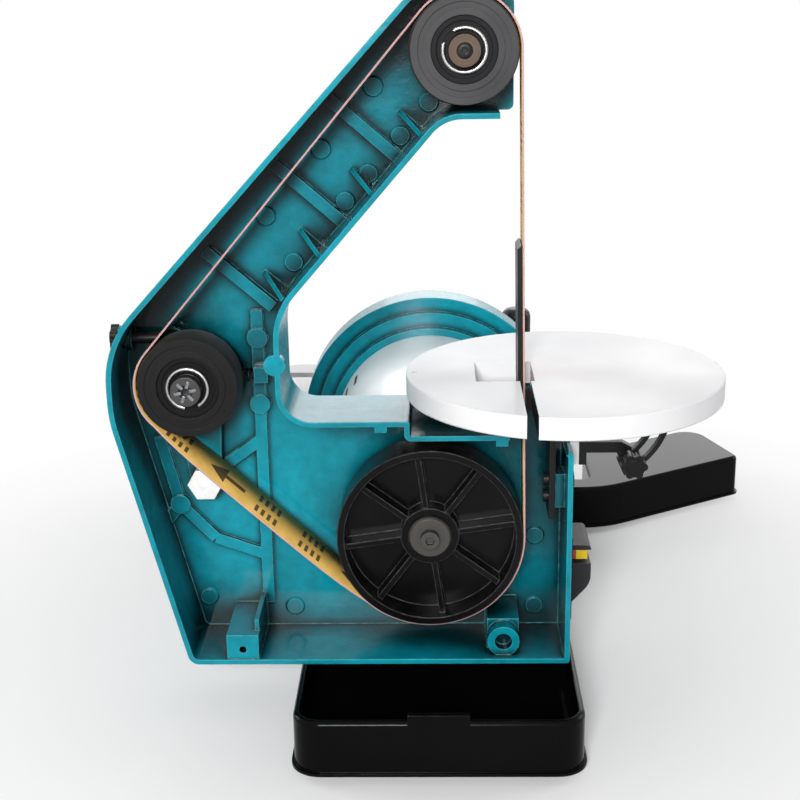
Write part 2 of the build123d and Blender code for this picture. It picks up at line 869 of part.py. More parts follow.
def foot_bolt_spots():
    x = saddle_half + saddle_ear / 2
    near = saddle_near_y + saddle_ear / 2
    far = saddle_near_y + saddle_len - saddle_ear / 2
    return [(sx * x, y) for sx in (-1, 1) for y in (near, far)]


def foot_bolts():
    bolt = hex_bolt(2 * bolt_head_r, bolt_head_h, bolt_r, saddle_ear_t + base_wall + foot_bolt_grip)
    return Compound([Pos(x, y, base_top + saddle_ear_t) * bolt for x, y in foot_bolt_spots()])


def base_outline():
    """The base in plan: a body under the motor and two swept feet at the disc end."""
    left = base_x - base_half
    right = base_x + base_half
    bar_y = wing_y + wing_bar_w
    return rounded([
        (left, base_near_y, base_corner_r),
        (right, base_near_y, base_corner_r),
        (right, wing_y, wing_side_round),
        (wing_bend_x, wing_y, wing_bend_r),
        (wing_tip_x, wing_tip_y, wing_tip_round),
        (wing_end_x, wing_end_y, wing_end_round),
        (wing_notch_x, wing_back_y, wing_back_round),
        (wing_notch_x, bar_y, wing_inner_round),
        (-wing_notch_x, bar_y, wing_inner_round),
        (-wing_notch_x, wing_back_y, wing_back_round),
        (back_wing_end_x, back_wing_end_y, wing_end_round),
        (back_wing_tip_x, back_wing_tip_y, wing_tip_round),
        (2 * base_x - wing_bend_x, wing_y, wing_bend_r),
        (left, wing_y, wing_side_round),
    ])


def bench_bolt_spots():
    half_x = bench_span_x / 2
    rows = (bench_near_y, bench_far_y)
    return [(base_x + sx * half_x, y) for sx in (-1, 1) for y in rows]


def wing_foot_spots():
    """Plain feet under the tips of the two swept feet."""
    inset = wing_foot_inset
    right = (wing_end_x - inset / 2, wing_tip_y + inset)
    left = (back_wing_end_x + inset / 2, back_wing_tip_y + inset)
    return [right, left]


def base_casting():
    outline = base_outline()
    body = extrude(Pos(0, 0, base_bottom) * outline, amount=base_h)
    rim = body.faces().sort_by(Axis.Z)[-1].edges()
    body = fillet(rim, base_edge_r)
    lip = extrude(Pos(0, 0, base_bottom) * offset(outline, amount=base_lip), amount=base_lip)
    body += lip
    inner = offset(outline, amount=-base_wall)
    body -= extrude(Pos(0, 0, base_bottom) * inner, amount=base_h - base_wall)
    left = base_x - base_half + base_wall
    right = base_x + base_half - base_wall
    near = base_near_y + base_wall
    tray_z = base_top - tray_drop
    tray = rounded([(left, near, base_corner_r - base_wall), (right, near, base_corner_r - base_wall),
                    (right, tray_far_y, 4), (left, tray_far_y, 4)])
    body -= extrude(Pos(0, 0, tray_z) * tray, amount=tray_drop)
    body += extrude(Pos(0, 0, tray_z - base_wall) * tray, amount=base_wall)
    tray_back_y = tray_far_y + base_wall
    body += block(left - 1, right + 1, tray_far_y, tray_back_y, tray_z - base_wall, base_top - 1)
    half = tray_tab_w / 2
    tab_top = base_top + tray_tab_h
    body += block(base_x - half, base_x + half, base_near_y, near, base_top - base_wall, tab_top)
    body -= block(-well_half, well_half, well_near_y, well_far_y, base_top - base_wall, base_top)
    for x, y in bench_bolt_spots() + wing_foot_spots():
        body += rod_z(foot_r, base_bottom, min(base_top - base_wall, roof_over(y)), x, y)
    for x, y in bench_bolt_spots():
        body -= rod_z(bench_bolt_r, base_bottom, base_top, x, y)
    roof = base_top - base_wall
    for x, y in foot_bolt_spots():
        body += rod_z(bolt_r + 5, roof - foot_bolt_grip - 2, roof, x, y)
        body -= rod_z(bolt_r, roof - foot_bolt_grip, base_top, x, y)
    return body


def roof_over(y):
    """Height of the plate above a foot: the tray's floor near the belt end, the top plate elsewhere."""
    return base_top - tray_drop if y < tray_far_y else base_top


def rubber_feet():
    feet = []
    for x, y in bench_bolt_spots():
        pad = rod_z(foot_r, base_bottom - foot_h, base_bottom, x, y)
        feet.append(pad - rod_z(bench_bolt_r, base_bottom - foot_h, base_bottom, x, y))
    for x, y in wing_foot_spots():
        feet.append(rod_z(foot_r, base_bottom - foot_h, base_bottom, x, y))
    return Compound(feet)


def disc_shroud():
    y0 = motor_rear_y
    r2 = shroud_r
    r1 = r2 - shroud_ring
    r0 = r1 - shroud_ring
    t = shroud_wall
    hole = shaft_r + 14
    y1 = y0 + shroud_step
    y2 = y1 + shroud_step
    outside = [(hole, y0), (r0, y0), (r0, y1), (r1, y1), (r1, y2), (r2, y2), (r2, shroud_rim_y)]
    inside = [(r - t, y + t) for r, y in outside[1:-1]]
    inside += [(r2 - t, shroud_rim_y)]
    shroud = turned(outside + inside[::-1] + [(hole, y0 + t)])
    for side in (-1, 1):
        lug = block(side * (bracket_x - lug_reach), side * bracket_x, lug_near_y(), shroud_rim_y,
                    lug_low_z(), lug_high_z())
        shroud += lug - rod_y(r2 - t, y0, shroud_rim_y + 1)
        for y, z in bracket_screw_spots():
            shroud -= rod_x(bracket_screw_r, side * (bracket_x - 10), side * bracket_x, y, z)
    for x, z in bolt_spots():
        shroud -= rod_y(bolt_r + hole_gap, y0, y0 + t, x, z)
    return shroud


def lug_near_y():
    return motor_rear_y + 2 * shroud_step


def lug_high_z():
    return disc_pivot_z + 10


def lug_low_z():
    return disc_stud_z + 12


def bracket_screw_spots():
    """The two screws that hold a trunnion bracket to the shroud, as (y, z)."""
    y = lug_near_y() + 12
    return [(y, lug_high_z() - 12), (y, lug_low_z() + 8)]


def disc_plate():
    plate = rod_y(disc_r, disc_back_y, disc_face_y)
    hub = ring_y(disc_hub_r, shaft_r, disc_back_y - disc_hub_len, disc_back_y)
    return plate + hub - rod_x(set_screw_r, 0, disc_hub_r + 1, disc_back_y - disc_hub_len / 2, 0)


def disc_set_screw():
    return rod_x(set_screw_r, shaft_r, disc_hub_r, disc_back_y - disc_hub_len / 2, 0)


def abrasive_disc():
    return rod_y(disc_r, disc_face_y, paper_y)


def disc_table():
    far = disc_table_y + disc_table_depth
    half = disc_table_half
    low = disc_table_top - disc_table_t
    rib_z = low - disc_table_rib
    corner = disc_table_corner
    near_corner = corner / 4
    face = rounded([(-half, disc_table_y, near_corner), (half, disc_table_y, near_corner),
                    (half, far, corner), (-half, far, corner)])
    table = extrude(Pos(0, 0, low) * face, amount=disc_table_t)
    edge_y = far - table_rib_t - 2
    table += block(-half + corner, half - corner, edge_y, edge_y + table_rib_t, rib_z, low)
    slot_half = slot_w / 2
    bed_half = slot_half + table_rib_t
    table += block(-half + 4, half - 4, slot_y - bed_half, slot_y + bed_half, rib_z + 2, low)
    inside = trunnion_x - 2
    rib_y = disc_table_y + table_rib_in
    table += block(-inside, inside, rib_y, rib_y + table_rib_t, rib_z, low)
    for x in (-half / 2, 0, half / 2):
        table += block(x - table_rib_t / 2, x + table_rib_t / 2, rib_y, edge_y, rib_z, low)
    slot_floor = disc_table_top - slot_depth
    slot_near = slot_y - slot_half
    slot_far = slot_y + slot_half
    table -= block(-half - 1, half + 1, slot_near, slot_far, slot_floor, disc_table_top)
    return table


def trunnions():
    """The two arc plates under the disc table, with the pivot hole and the clamp slot."""
    y, z = disc_pivot_y, disc_pivot_z
    under = disc_table_top - disc_table_t
    low = disc_stud_angle - 16
    face = sector(y, z, trunnion_r, low, 0) + disc_face(y, z, disc_pin_r + 4)
    back = y + trunnion_r
    front = y - 3
    head = make_face(Polyline((front, z), (back, z), (back, under), (front, under), close=True))
    face = face + head - disc_face(y, z, disc_pin_r + running_gap)
    slot = 2 * (stud_r + stud_gap)
    face -= arc_slot(y, z, trunnion_slot_r, slot, disc_stud_angle, disc_stud_angle + disc_tilt)
    right = plate_x(face, trunnion_x, trunnion_x + trunnion_t)
    left = plate_x(face, -trunnion_x - trunnion_t, -trunnion_x)
    return Compound([left, right])


def bracket_face():
    """One trunnion bracket seen from the side."""
    lug_y0 = lug_near_y() + 6
    face = hull((disc_pivot_y, disc_pivot_z, 7.5), (disc_stud_y, disc_stud_z, 9),
                (lug_y0, lug_high_z() - 6, 6), (lug_y0, lug_low_z() + 6, 6))
    face -= disc_face(disc_pivot_y, disc_pivot_z, disc_pin_r)
    return face - disc_face(disc_stud_y, disc_stud_z, stud_r + running_gap)


def trunnion_brackets():
    plates = []
    for side in (-1, 1):
        near = min(side * bracket_x, side * (bracket_x + bracket_t))
        plate = plate_x(bracket_face(), near, near + bracket_t)
        for y, z in bracket_screw_spots():
            plate -= facing_side(side, bracket_x + bracket_t, y, z) * countersunk(hole_gap)
        plates.append(plate)
    return Compound(plates)


def countersunk(grow):
    """A flat-headed screw sunk below Z = 0, grown sideways by a gap."""
    r = bracket_screw_r + grow
    head_h = bracket_screw_r + countersink_land
    head = Pos(0, 0, -head_h / 2) * Cone(r, r + bracket_screw_r, head_h)
    return head + Pos(0, 0, -bracket_screw_len / 2) * Cylinder(r, bracket_screw_len)


def bracket_screws():
    screws = []
    for side in (-1, 1):
        for y, z in bracket_screw_spots():
            screws.append(facing_side(side, bracket_x + bracket_t, y, z) * countersunk(0))
    return Compound(screws)


def disc_pivot_pins():
    pins = []
    for side in (-1, 1):
        outer = trunnion_x + trunnion_t + clear_gap
        pin = rod_x(disc_pin_r, side * bracket_x, side * outer, disc_pivot_y, disc_pivot_z)
        head_x = outer + pin_head_t
        pin += rod_x(disc_pin_r + pin_head_lip, side * outer, side * head_x, disc_pivot_y, disc_pivot_z)
        pins.append(pin)
    return Compound(pins)


def clamp_stud(side):
    """The threaded rod through a trunnion's slot into its bracket."""
    return rod_x(stud_r, side * (bracket_x + 0.5), side * (knob_x + 1), disc_stud_y, disc_stud_z)


def disc_lock_knob():
    """The lobed clamp knob with its stud, on the side away from the belt table."""
    place = facing_side(-1, knob_x, disc_stud_y, disc_stud_z)
    knob = place * lobed(disc_knob_r, knob_lobes, disc_knob_h)
    return knob + clamp_stud(-1)


def disc_guide_bolt():
    """The plain bolt that guides the other trunnion."""
    head = extrude(RegularPolygon(bolt_head_r, 6, major_radius=False), amount=bolt_head_h)
    return facing_side(1, knob_x - clear_gap, disc_stud_y, disc_stud_z) * head + clamp_stud(1)


def mitre_bar():
    top = disc_table_top - clear_gap
    low = disc_table_top - slot_depth + clear_gap
    half = slot_w / 2 - mitre_bar_gap
    ahead = mitre_x + mitre_bar_ahead
    bar = block(ahead - mitre_bar_len, ahead, slot_y - half, slot_y + half, low, top)
    return bar + rod_z(stud_r, top, disc_table_top + mitre_knob_z, mitre_x, slot_y)


def mitre_head():
    low = disc_table_top + clear_gap
    fence_x = mitre_x - mitre_fence_back
    half = mitre_fence_len / 2
    body = sector(mitre_x, slot_y, mitre_head_r, -mitre_scale_angle, mitre_scale_angle)
    wide = mitre_head_r * math.sin(math.radians(mitre_scale_angle))
    back = mitre_x + mitre_head_r * math.cos(math.radians(mitre_scale_angle))
    root = half - mitre_fence_t
    body += make_face(Polyline((fence_x, slot_y - root), (back, slot_y - wide), (back, slot_y + wide),
                               (fence_x, slot_y + root), close=True))
    head = extrude(Pos(0, 0, low) * body, amount=mitre_head_t)
    fence_top = low + mitre_fence_h
    head += block(fence_x - mitre_fence_t, fence_x, slot_y - half, slot_y + half, low, fence_top)
    return head - rod_z(stud_r + running_gap, low, low + mitre_head_t, mitre_x, slot_y)


def mitre_knob():
    seat = disc_table_top + 2 * clear_gap + mitre_head_t
    crown = disc_table_top + mitre_knob_z
    knob = rod_z(mitre_stem_r, seat, crown, mitre_x, slot_y)
    grip = rod_z(mitre_knob_r, crown, crown + mitre_knob_h, mitre_x, slot_y)
    grip = fillet(grip.edges().sort_by(Axis.Z)[-1], mitre_knob_crown_r)
    for i in range(mitre_knob_flutes):
        x, y = polar_xz(mitre_knob_r + mitre_flute_r / 2, i * 360 / mitre_knob_flutes, mitre_x, slot_y)
        grip -= rod_z(mitre_flute_r, crown, crown + mitre_knob_h, x, y)
    return knob + grip - rod_z(stud_r + running_gap, seat, crown + running_gap, mitre_x, slot_y)


def belt_table():
    table = rod_z(table_r, table_under, table_top, table_x, table_y)
    table = fillet(table.edges(), table_edge_r)
    table -= block(window_left, window_right, window_near, window_far, table_under, table_top)
    entry_x = run_x(table_top) + belt_thick / 2
    entry_left = entry_x - entry_w / 2
    entry_near = table_y - table_r - 1
    table -= block(entry_left, entry_left + entry_w, entry_near, window_near + 1, table_under, table_top)
    root = table_under + 1
    lug = disc_face(pivot_x, pivot_z, pivot_lug_r)
    lug += Pos(pivot_x, (pivot_z + root) / 2) * Rectangle(2 * pivot_lug_r, root - pivot_z)
    arc = disc_face(pivot_x, pivot_z, table_slot_r + table_arc_half)
    arc -= disc_face(pivot_x, pivot_z, table_slot_r - table_arc_half)
    arc &= sector(pivot_x, pivot_z, 2 * table_slot_r, table_stud_angle - table_arc_end, table_arc_start)
    arc &= Pos(pivot_x, root - table_r) * Rectangle(4 * table_r, 2 * table_r)
    slot_end = table_stud_angle + table_tilt
    arc -= arc_slot(pivot_x, pivot_z, table_slot_r, table_slot_w, table_stud_angle, slot_end)
    table += plate_y(lug + arc, lug_y, lug_y + lug_t) + plate_y(lug, far_lug_y, far_lug_y + lug_t)
    return table - rod_y(pivot_r + running_gap, lug_y, far_lug_y + lug_t, pivot_x, pivot_z)


def table_post():
    """The bracket on the housing's right wall that carries the belt table's pivot."""
    wall = housing_right
    plate_h = pivot_z - pivot_r - post_bottom
    plate = Pos(wall + post_t / 2, post_bottom + plate_h / 2) * Rectangle(post_t, plate_h)
    boss_top = pivot_drop - 1.5
    web = hull((wall + post_t / 2, pivot_z - pivot_r - 1, post_t / 2), (pivot_x, pivot_z, boss_top))
    post = plate_y(plate + web, post_y, post_y + post_w)
    post -= rod_y(pivot_r, post_y, post_y + post_w, pivot_x, pivot_z)
    for z in post_bolt_heights():
        post -= rod_x(post_bolt_r, wall, wall + post_t, post_bolt_y(), z)
    return post


def post_bolts():
    bolts = []
    for z in post_bolt_heights():
        bolt = hex_bolt(3.2 * post_bolt_r, 1.6 * post_bolt_r, post_bolt_r, post_t + housing_wall)
        bolts.append(Pos(housing_right + post_t, post_bolt_y(), z) * Rot(0, 90, 0) * bolt)
    return Compound(bolts)


def lock_arm():
    """The bar from the post to the clamp stud of the belt table."""
    start = housing_right + post_t
    low = lock_z + lock_arm_rise
    high = low + lock_arm_h
    bend_x = lock_x - lock_arm_h
    near = lug_y + lug_t + clear_gap
    face = hull((lock_x, lock_z, table_stud_r + 4), (bend_x, (low + high) / 2, lock_arm_h / 2))
    face += make_face(Polyline((start, low), (bend_x, low), (bend_x, high), (start, high), close=True))
    arm = plate_y(face, near, near + lock_arm_t)
    arm += block(start, start + 5, near, near + lock_arm_t + 2, post_bottom, high)
    return arm - rod_y(table_stud_r + running_gap, near, near + lock_arm_t, lock_x, lock_z)


def table_pivot_pin():
    near = lug_y - clear_gap
    pin = rod_y(pivot_r, near, far_lug_y + lug_t + pin_head_t, pivot_x, pivot_z)
    return pin + rod_y(pivot_r + pin_head_lip, near - pin_head_t, near, pivot_x, pivot_z)


def lock_nut_y():
    return lug_y + lug_t + clear_gap + lock_arm_t


def table_lock_knob():
    front = lug_y - 2 * clear_gap
    knob = facing_belt_end(front, lock_x, lock_z) * lobed(table_knob_r, knob_lobes, table_knob_h)
    return knob + rod_y(table_stud_r, front - 1, lock_nut_y() + lock_nut_h + 1, lock_x, lock_z)


def table_lock_nut():
    nut = extrude(RegularPolygon(table_stud_r + 2.5, 6, major_radius=False), amount=lock_nut_h)
    nut = facing_disc_end(lock_nut_y(), lock_x, lock_z) * nut
    far_y = lock_nut_y() + lock_nut_h
    return nut - rod_y(table_stud_r + running_gap, lock_nut_y(), far_y, lock_x, lock_z)


def on_run(shape):
    """Turns a piece drawn upright so that it lies along the belt's upright run."""
    return Pos(run_x(0), 0, 0) * Rot(0, -run_angle(), 0) * shape


def platen():
    half = platen_w / 2
    back = -platen_gap - platen_t
    bar = block(back, -platen_gap, belt_mid_y - half, belt_mid_y + half, platen_bottom, platen_top)
    bar = chamfer(bar.edges().filter_by(Axis.Y).group_by(Axis.Z)[-1].sort_by(Axis.X)[0], platen_t * 0.8)
    bar -= rod_x(platen_screw_r, back, -platen_gap - platen_skin, belt_mid_y, platen_screw_z())
    return on_run(bar)


def platen_screw_z():
    return platen_bottom + platen_tab_h / 2


def platen_bracket():
    """A strap on the right wall, with an arm that passes behind the belt to the platen's back."""
    back = -platen_gap - platen_t
    top = platen_bottom + platen_tab_h
    near = belt_mid_y - strap_lug_w / 2 - 1
    arm_y = belt_far_y + strap_gap
    far = arm_y + platen_tab_t
    tab = block(back - platen_tab_t, back, near, far, platen_bottom, top)
    tab -= rod_x(platen_screw_r, back - platen_tab_t, back, belt_mid_y, platen_screw_z())
    bracket = on_run(tab)
    arm_x = run_x(platen_bottom) + back - platen_tab_t
    bracket += block(arm_x, strap_x + strap_t, arm_y, far, platen_bottom, top)
    strap = block(strap_x, strap_x + strap_t, near, far, strap_bottom, top)
    for z in strap_screws:
        strap -= rod_x(platen_screw_r, strap_x, strap_x + strap_t, belt_mid_y, z)
    return bracket + strap


def platen_screws():
    seat = -platen_gap - platen_t - platen_tab_t
    head_h = platen_screw_head_r - 1
    screw = cap_screw(platen_screw_head_r, head_h, platen_screw_r, platen_tab_t + platen_t - platen_skin)
    fixed = [on_run(Pos(seat, belt_mid_y, platen_screw_z()) * Rot(0, -90, 0) * screw)]
    short = cap_screw(platen_screw_head_r, head_h, platen_screw_r, strap_t + strap_screw_len)
    for z in strap_screws:
        fixed.append(Pos(strap_x, belt_mid_y, z) * Rot(0, -90, 0) * short)
    return Compound(fixed)


def tension_arm():
    """The swinging plate that carries the tracking wheel's axle."""
    y0 = swing_arm_y
    y1 = y0 + swing_arm_t
    face = hull((swing_x, swing_z, swing_hub_r), (track_x, track_z, axle_r + axle_boss_t))
    face += hull((track_x, track_z, axle_r + 4), (track_ear_x, track_screw_z, track_ear_r))
    face -= disc_face(swing_x, swing_z, swing_bolt_r + running_gap)
    face -= disc_face(track_x, track_z, axle_r)
    return plate_y(face, y0, y1)


def tension_bolt():
    """The large hexagon-headed bolt that the tension arm swings on."""
    seat = swing_arm_y - clear_gap
    bolt = hex_bolt(hex_across, hex_h, swing_bolt_r, motor_face_y - seat)
    return facing_belt_end(seat, swing_x, swing_z) * bolt


def half_coil(index, rise):
    """Half a turn of the tension spring: a round arc that climbs across the coil."""
    side = 1 if index % 2 == 0 else -1
    start = Vector(side * spring_r, 0, index * rise)
    end = Vector(-side * spring_r, 0, (index + 1) * rise)
    reach = (end - start).length / 2
    arc = ThreePointArc(start, (start + end) / 2 + Vector(0, side * reach, 0), end)
    return sweep(Plane(arc @ 0, z_dir=arc % 0) * Circle(spring_wire_r), path=arc)


def tension_spring():
    halves = 2 * spring_turns
    rise = (spring_len - 2 * spring_wire_r) / halves
    coil = half_coil(0, rise)
    for index in range(1, halves):
        coil += half_coil(index, rise)
    return Pos(spring_start() + spring_wire_r, track_screw_y, track_z) * Rot(0, 90, 0) * coil


def tracking_knob():
    """The hand knob on the back wall with its screw, which bears on the tension arm's ear."""
    face_x = housing_left + knob_seat - clear_gap
    place = Pos(face_x, track_screw_y, track_screw_z) * Rot(0, -90, 0)
    knob = place * lobed(track_knob_r, knob_lobes, track_knob_h)
    tip = track_ear_x - track_ear_r - clear_gap
    return knob + rod_x(track_screw_r, face_x - 1, tip, track_screw_y, track_screw_z)


def top_axle_nut():
    nut = extrude(RegularPolygon(1.5 * axle_r, 6, major_radius=False), amount=axle_nut_h)
    nut = facing_disc_end(motor_face_y, top_x, top_z) * nut
    return nut - rod_y(axle_r, motor_face_y, motor_face_y + axle_nut_h, top_x, top_z)


def switch_box():
    far = switch_near_y + switch_len
    top = base_top + switch_h
    w = switch_wall
    front = switch_face_x - switch_plate_t
    box = block(switch_back_x, front, switch_near_y, far, base_top, top)
    box -= block(switch_back_x + w, front, switch_near_y + w, far - w, base_top + w, top - w)
    return box - rod_y(gland_r - gland_lip, far - w, far, gland_x(), gland_z())


def bezel_span():
    """The switch bezel's two ends along Y."""
    middle = switch_near_y + switch_len / 2
    return middle - bezel_len / 2, middle + bezel_len / 2


def switch_bezel():
    """The switch plate with its rounded hood, split by the channel that the paddle moves in."""
    far = switch_near_y + switch_len
    top = base_top + switch_h
    back = switch_face_x - switch_plate_t
    plate = block(back, switch_face_x, switch_near_y, far, base_top, top)
    y0, y1 = bezel_span()
    out = switch_face_x + bezel_reach
    channel = paddle_t / 2 + paddle_room
    hood_top = paddle_z + channel + bezel_lip
    hood = rounded([
        (switch_face_x, base_top + bezel_drop, 0),
        (out, base_top + bezel_sweep, bezel_round),
        (out, hood_top, bezel_lip),
        (switch_face_x, hood_top, 0),
    ])
    hood = plate_y(hood, y0, y1)
    hood -= block(switch_face_x, out + 1, y0, y1, paddle_z - channel, paddle_z + channel)
    body = plate + hood
    half = paddle_half() + clear_gap
    middle = switch_near_y + switch_len / 2
    low = paddle_z - channel
    body -= block(back, switch_face_x, middle - half, middle + half, low, paddle_z + channel)
    for side in (-1, 1):
        tip = middle + side * (half - paddle_pin_len)
        body += rod_y(paddle_pin_r, middle + side * half, tip, paddle_axis_x(), paddle_z)
    return body


def paddle_half():
    """Half the paddle's length along Y."""
    return bezel_len / 2 - 4 - clear_gap


def paddle_axis_x():
    """The paddle turns on two small pins in the middle of the bezel's plate."""
    return switch_face_x - switch_plate_t / 2


def switch_paddle():
    middle = switch_near_y + switch_len / 2
    half = paddle_half()
    thick = paddle_t / 2
    tip = switch_face_x + paddle_reach
    near = middle - half
    far = middle + half
    paddle = block(paddle_axis_x(), tip, near, far, paddle_z - thick, paddle_z + thick)
    paddle += rod_y(thick, near, far, paddle_axis_x(), paddle_z)
    for side in (-1, 1):
        end = middle + side * half
        depth = side * (paddle_pin_len + hole_gap)
        paddle -= rod_y(paddle_pin_r + running_gap, end, end - depth, paddle_axis_x(), paddle_z)
    room = key_t / 2 + clear_gap
    wide = key_w / 2 + clear_gap
    low = paddle_z - room
    return paddle - block(paddle_axis_x(), tip, middle - wide, middle + wide, low, paddle_z + room)


def safety_key():
    middle = switch_near_y + switch_len / 2
    half = paddle_half()
    grip_x = switch_face_x + paddle_reach + clear_gap
    tongue = block(paddle_axis_x() + clear_gap, grip_x + 1, middle - key_w / 2, middle + key_w / 2,
                   paddle_z - key_t / 2, paddle_z + key_t / 2)
    low = paddle_z - paddle_t / 2
    return tongue + block(grip_x, grip_x + key_len, middle - half, middle + half, low, low + paddle_t)


def gland_x():
    """The gland sits in the middle of the switch box's far end."""
    return (switch_back_x + switch_face_x - switch_plate_t) / 2


def gland_z():
    return base_top + gland_rise


def cable_gland():
    far = switch_near_y + switch_len
    x = gland_x()
    z = gland_z()
    inside = far - switch_wall
    gland = rod_y(gland_r, far, far + gland_len, x, z) + rod_y(gland_r - gland_lip, inside, far, x, z)
    return gland - rod_y(gland_r - 2 * gland_lip, inside, far + gland_len, x, z)


def cap_cover():
    """The cover over the motor's capacitor, on the side away from the belt table."""
    near = (motor_face_y + motor_rear_y - cap_box_len) / 2
    outer = -motor_r - cap_box_out
    half = cap_box_h / 2
    inner = -math.sqrt(motor_r ** 2 - half ** 2) + 4
    box = block(outer, inner, near, near + cap_box_len, -half, half)
    w = cap_box_wall
    box -= block(outer + w, inner + 1, near + w, near + cap_box_len - w, -half + w, half - w)
    return box - rod_y(motor_r, near - 1, near + cap_box_len + 1)


def top_axle():
    return idler_axle(top_x, top_z, motor_face_y + axle_nut_h)


def track_axle():
    return idler_axle(track_x, track_z, swing_arm_y + swing_arm_t)


nodes = {
    "base_casting": base_casting(),
    "rubber_feet": rubber_feet(),
    "motor_foot": motor_foot(),
    "foot_bolts": foot_bolts(),
    "motor_shell": motor_shell(),
    "end_bells": end_bells(),
    "motor_stator": motor_stator(),
    "motor_windings": motor_windings(),
    "motor_rotor": motor_rotor(),
    "motor_shaft": motor_shaft(),
    "shaft_bearings": shaft_bearings(),
    "capacitor_cover": cap_cover(),
    "switch_box": switch_box(),
    "switch_bezel": switch_bezel(),
    "switch_paddle": switch_paddle(),
    "safety_key": safety_key(),
    "cable_gland": cable_gland(),
    "belt_housing": belt_housing(),
    "motor_bolts": motor_bolts(),
    "drive_wheel": drive_wheel(),
    "hub_washer": hub_washer(),
    "hub_screw": hub_screw(),
    "top_wheel": idler(top_x, top_z),
    "top_bearings": idler_bearings(top_x, top_z),
    "top_axle": top_axle(),
    "top_axle_nut": top_axle_nut(),
    "top_retaining_ring": retaining_ring(top_x, top_z),
    "tracking_wheel": idler(track_x, track_z),
    "tracking_bearings": idler_bearings(track_x, track_z),
    "tracking_axle": track_axle(),
    "tracking_retaining_ring": retaining_ring(track_x, track_z),
    "tension_arm": tension_arm(),
    "tension_bolt": tension_bolt(),
    "tension_spring": tension_spring(),
    "tracking_knob": tracking_knob(),
    "abrasive_belt": abrasive_belt(),
    "platen": platen(),
    "platen_bracket": platen_bracket(),
    "platen_screws": platen_screws(),
    "belt_table": belt_table(),
    "table_post": table_post(),
    "post_bolts": post_bolts(),
    "lock_arm": lock_arm(),
    "table_pivot_pin": table_pivot_pin(),
    "table_lock_knob": table_lock_knob(),
    "table_lock_nut": table_lock_nut(),
    "disc_shroud": disc_shroud(),
    "disc_plate": disc_plate(),
    "disc_set_screw": disc_set_screw(),
    "abrasive_disc": abrasive_disc(),
    "disc_table": disc_table(),
    "trunnions": trunnions(),
    "trunnion_brackets": trunnion_brackets(),
    "bracket_screws": bracket_screws(),
    "disc_pivot_pins": disc_pivot_pins(),
    "disc_lock_knob": disc_lock_knob(),
    "disc_guide_bolt": disc_guide_bolt(),
    "mitre_bar": mitre_bar(),
    "mitre_head": mitre_head(),
    "mitre_knob": mitre_knob(),
}

os.makedirs("parts", exist_ok=True)
for node, shape in nodes.items():
    export_step(to_bench * shape, f"parts/{node}.step")
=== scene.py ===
import logging
import math
from dataclasses import dataclass, replace
from enum import Enum
from typing import Any, Callable, Optional, Sequence

import bmesh
import bpy
from bpy.types import Material, Mesh, MeshPolygon, Node, NodeSocket, NodeTree, Object
from mathutils import Matrix, Vector


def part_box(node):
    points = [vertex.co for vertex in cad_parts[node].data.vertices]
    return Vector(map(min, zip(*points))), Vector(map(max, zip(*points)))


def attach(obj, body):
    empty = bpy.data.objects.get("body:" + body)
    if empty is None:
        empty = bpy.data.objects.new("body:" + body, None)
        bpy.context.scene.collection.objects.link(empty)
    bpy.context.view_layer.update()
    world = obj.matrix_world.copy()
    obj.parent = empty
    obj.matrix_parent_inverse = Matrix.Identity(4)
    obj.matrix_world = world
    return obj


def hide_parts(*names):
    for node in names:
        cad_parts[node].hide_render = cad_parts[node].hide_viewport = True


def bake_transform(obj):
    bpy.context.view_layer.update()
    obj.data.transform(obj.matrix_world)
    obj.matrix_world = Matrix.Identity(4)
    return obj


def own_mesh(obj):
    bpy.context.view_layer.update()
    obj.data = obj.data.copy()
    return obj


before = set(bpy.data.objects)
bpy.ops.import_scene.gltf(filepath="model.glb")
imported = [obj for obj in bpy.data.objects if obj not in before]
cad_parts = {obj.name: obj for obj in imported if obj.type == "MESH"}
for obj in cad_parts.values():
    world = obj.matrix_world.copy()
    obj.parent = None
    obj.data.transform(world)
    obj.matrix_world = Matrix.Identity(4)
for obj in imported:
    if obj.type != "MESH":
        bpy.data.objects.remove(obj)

logging.basicConfig(level=logging.INFO, format="%(message)s")
LOG = logging.getLogger("sander")
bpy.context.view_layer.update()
MM = 0.001
QUARTER_TURN = math.pi / 2
FULL_TURN = 2 * math.pi
Pair = tuple[float, float]
Triple = tuple[float, float, float]


def colour(code: str) -> tuple[float, float, float, float]:
    """Turns a six-digit sRGB colour code into linear light.

    Args:
        code: the colour as #rrggbb.

    Returns:
        Red, green, blue and alpha.
    """
    parts = [int(code[i:i + 2], 16) / 255 for i in (1, 3, 5)]
    linear = [p / 12.92 if p <= 0.04045 else ((p + 0.055) / 1.055) ** 2.4 for p in parts]
    return (*linear, 1.0)


def empty_tree(owner: Any) -> NodeTree:
    """Empties the node tree of a material or a world.

    Args:
        owner: the material or the world.

    Returns:
        Its tree.
    """
    owner.use_nodes = True
    owner.node_tree.nodes.clear()
    return owner.node_tree


class BrushWay(Enum):
    """Which way the tool marks run on a bare metal piece."""

    ALONG_X = (30.0, 900.0, 900.0)
    ALONG_Y = (900.0, 30.0, 900.0)
    CAST = (260.0, 260.0, 260.0)
    TURNED = (0.0, 0.0, 0.0)


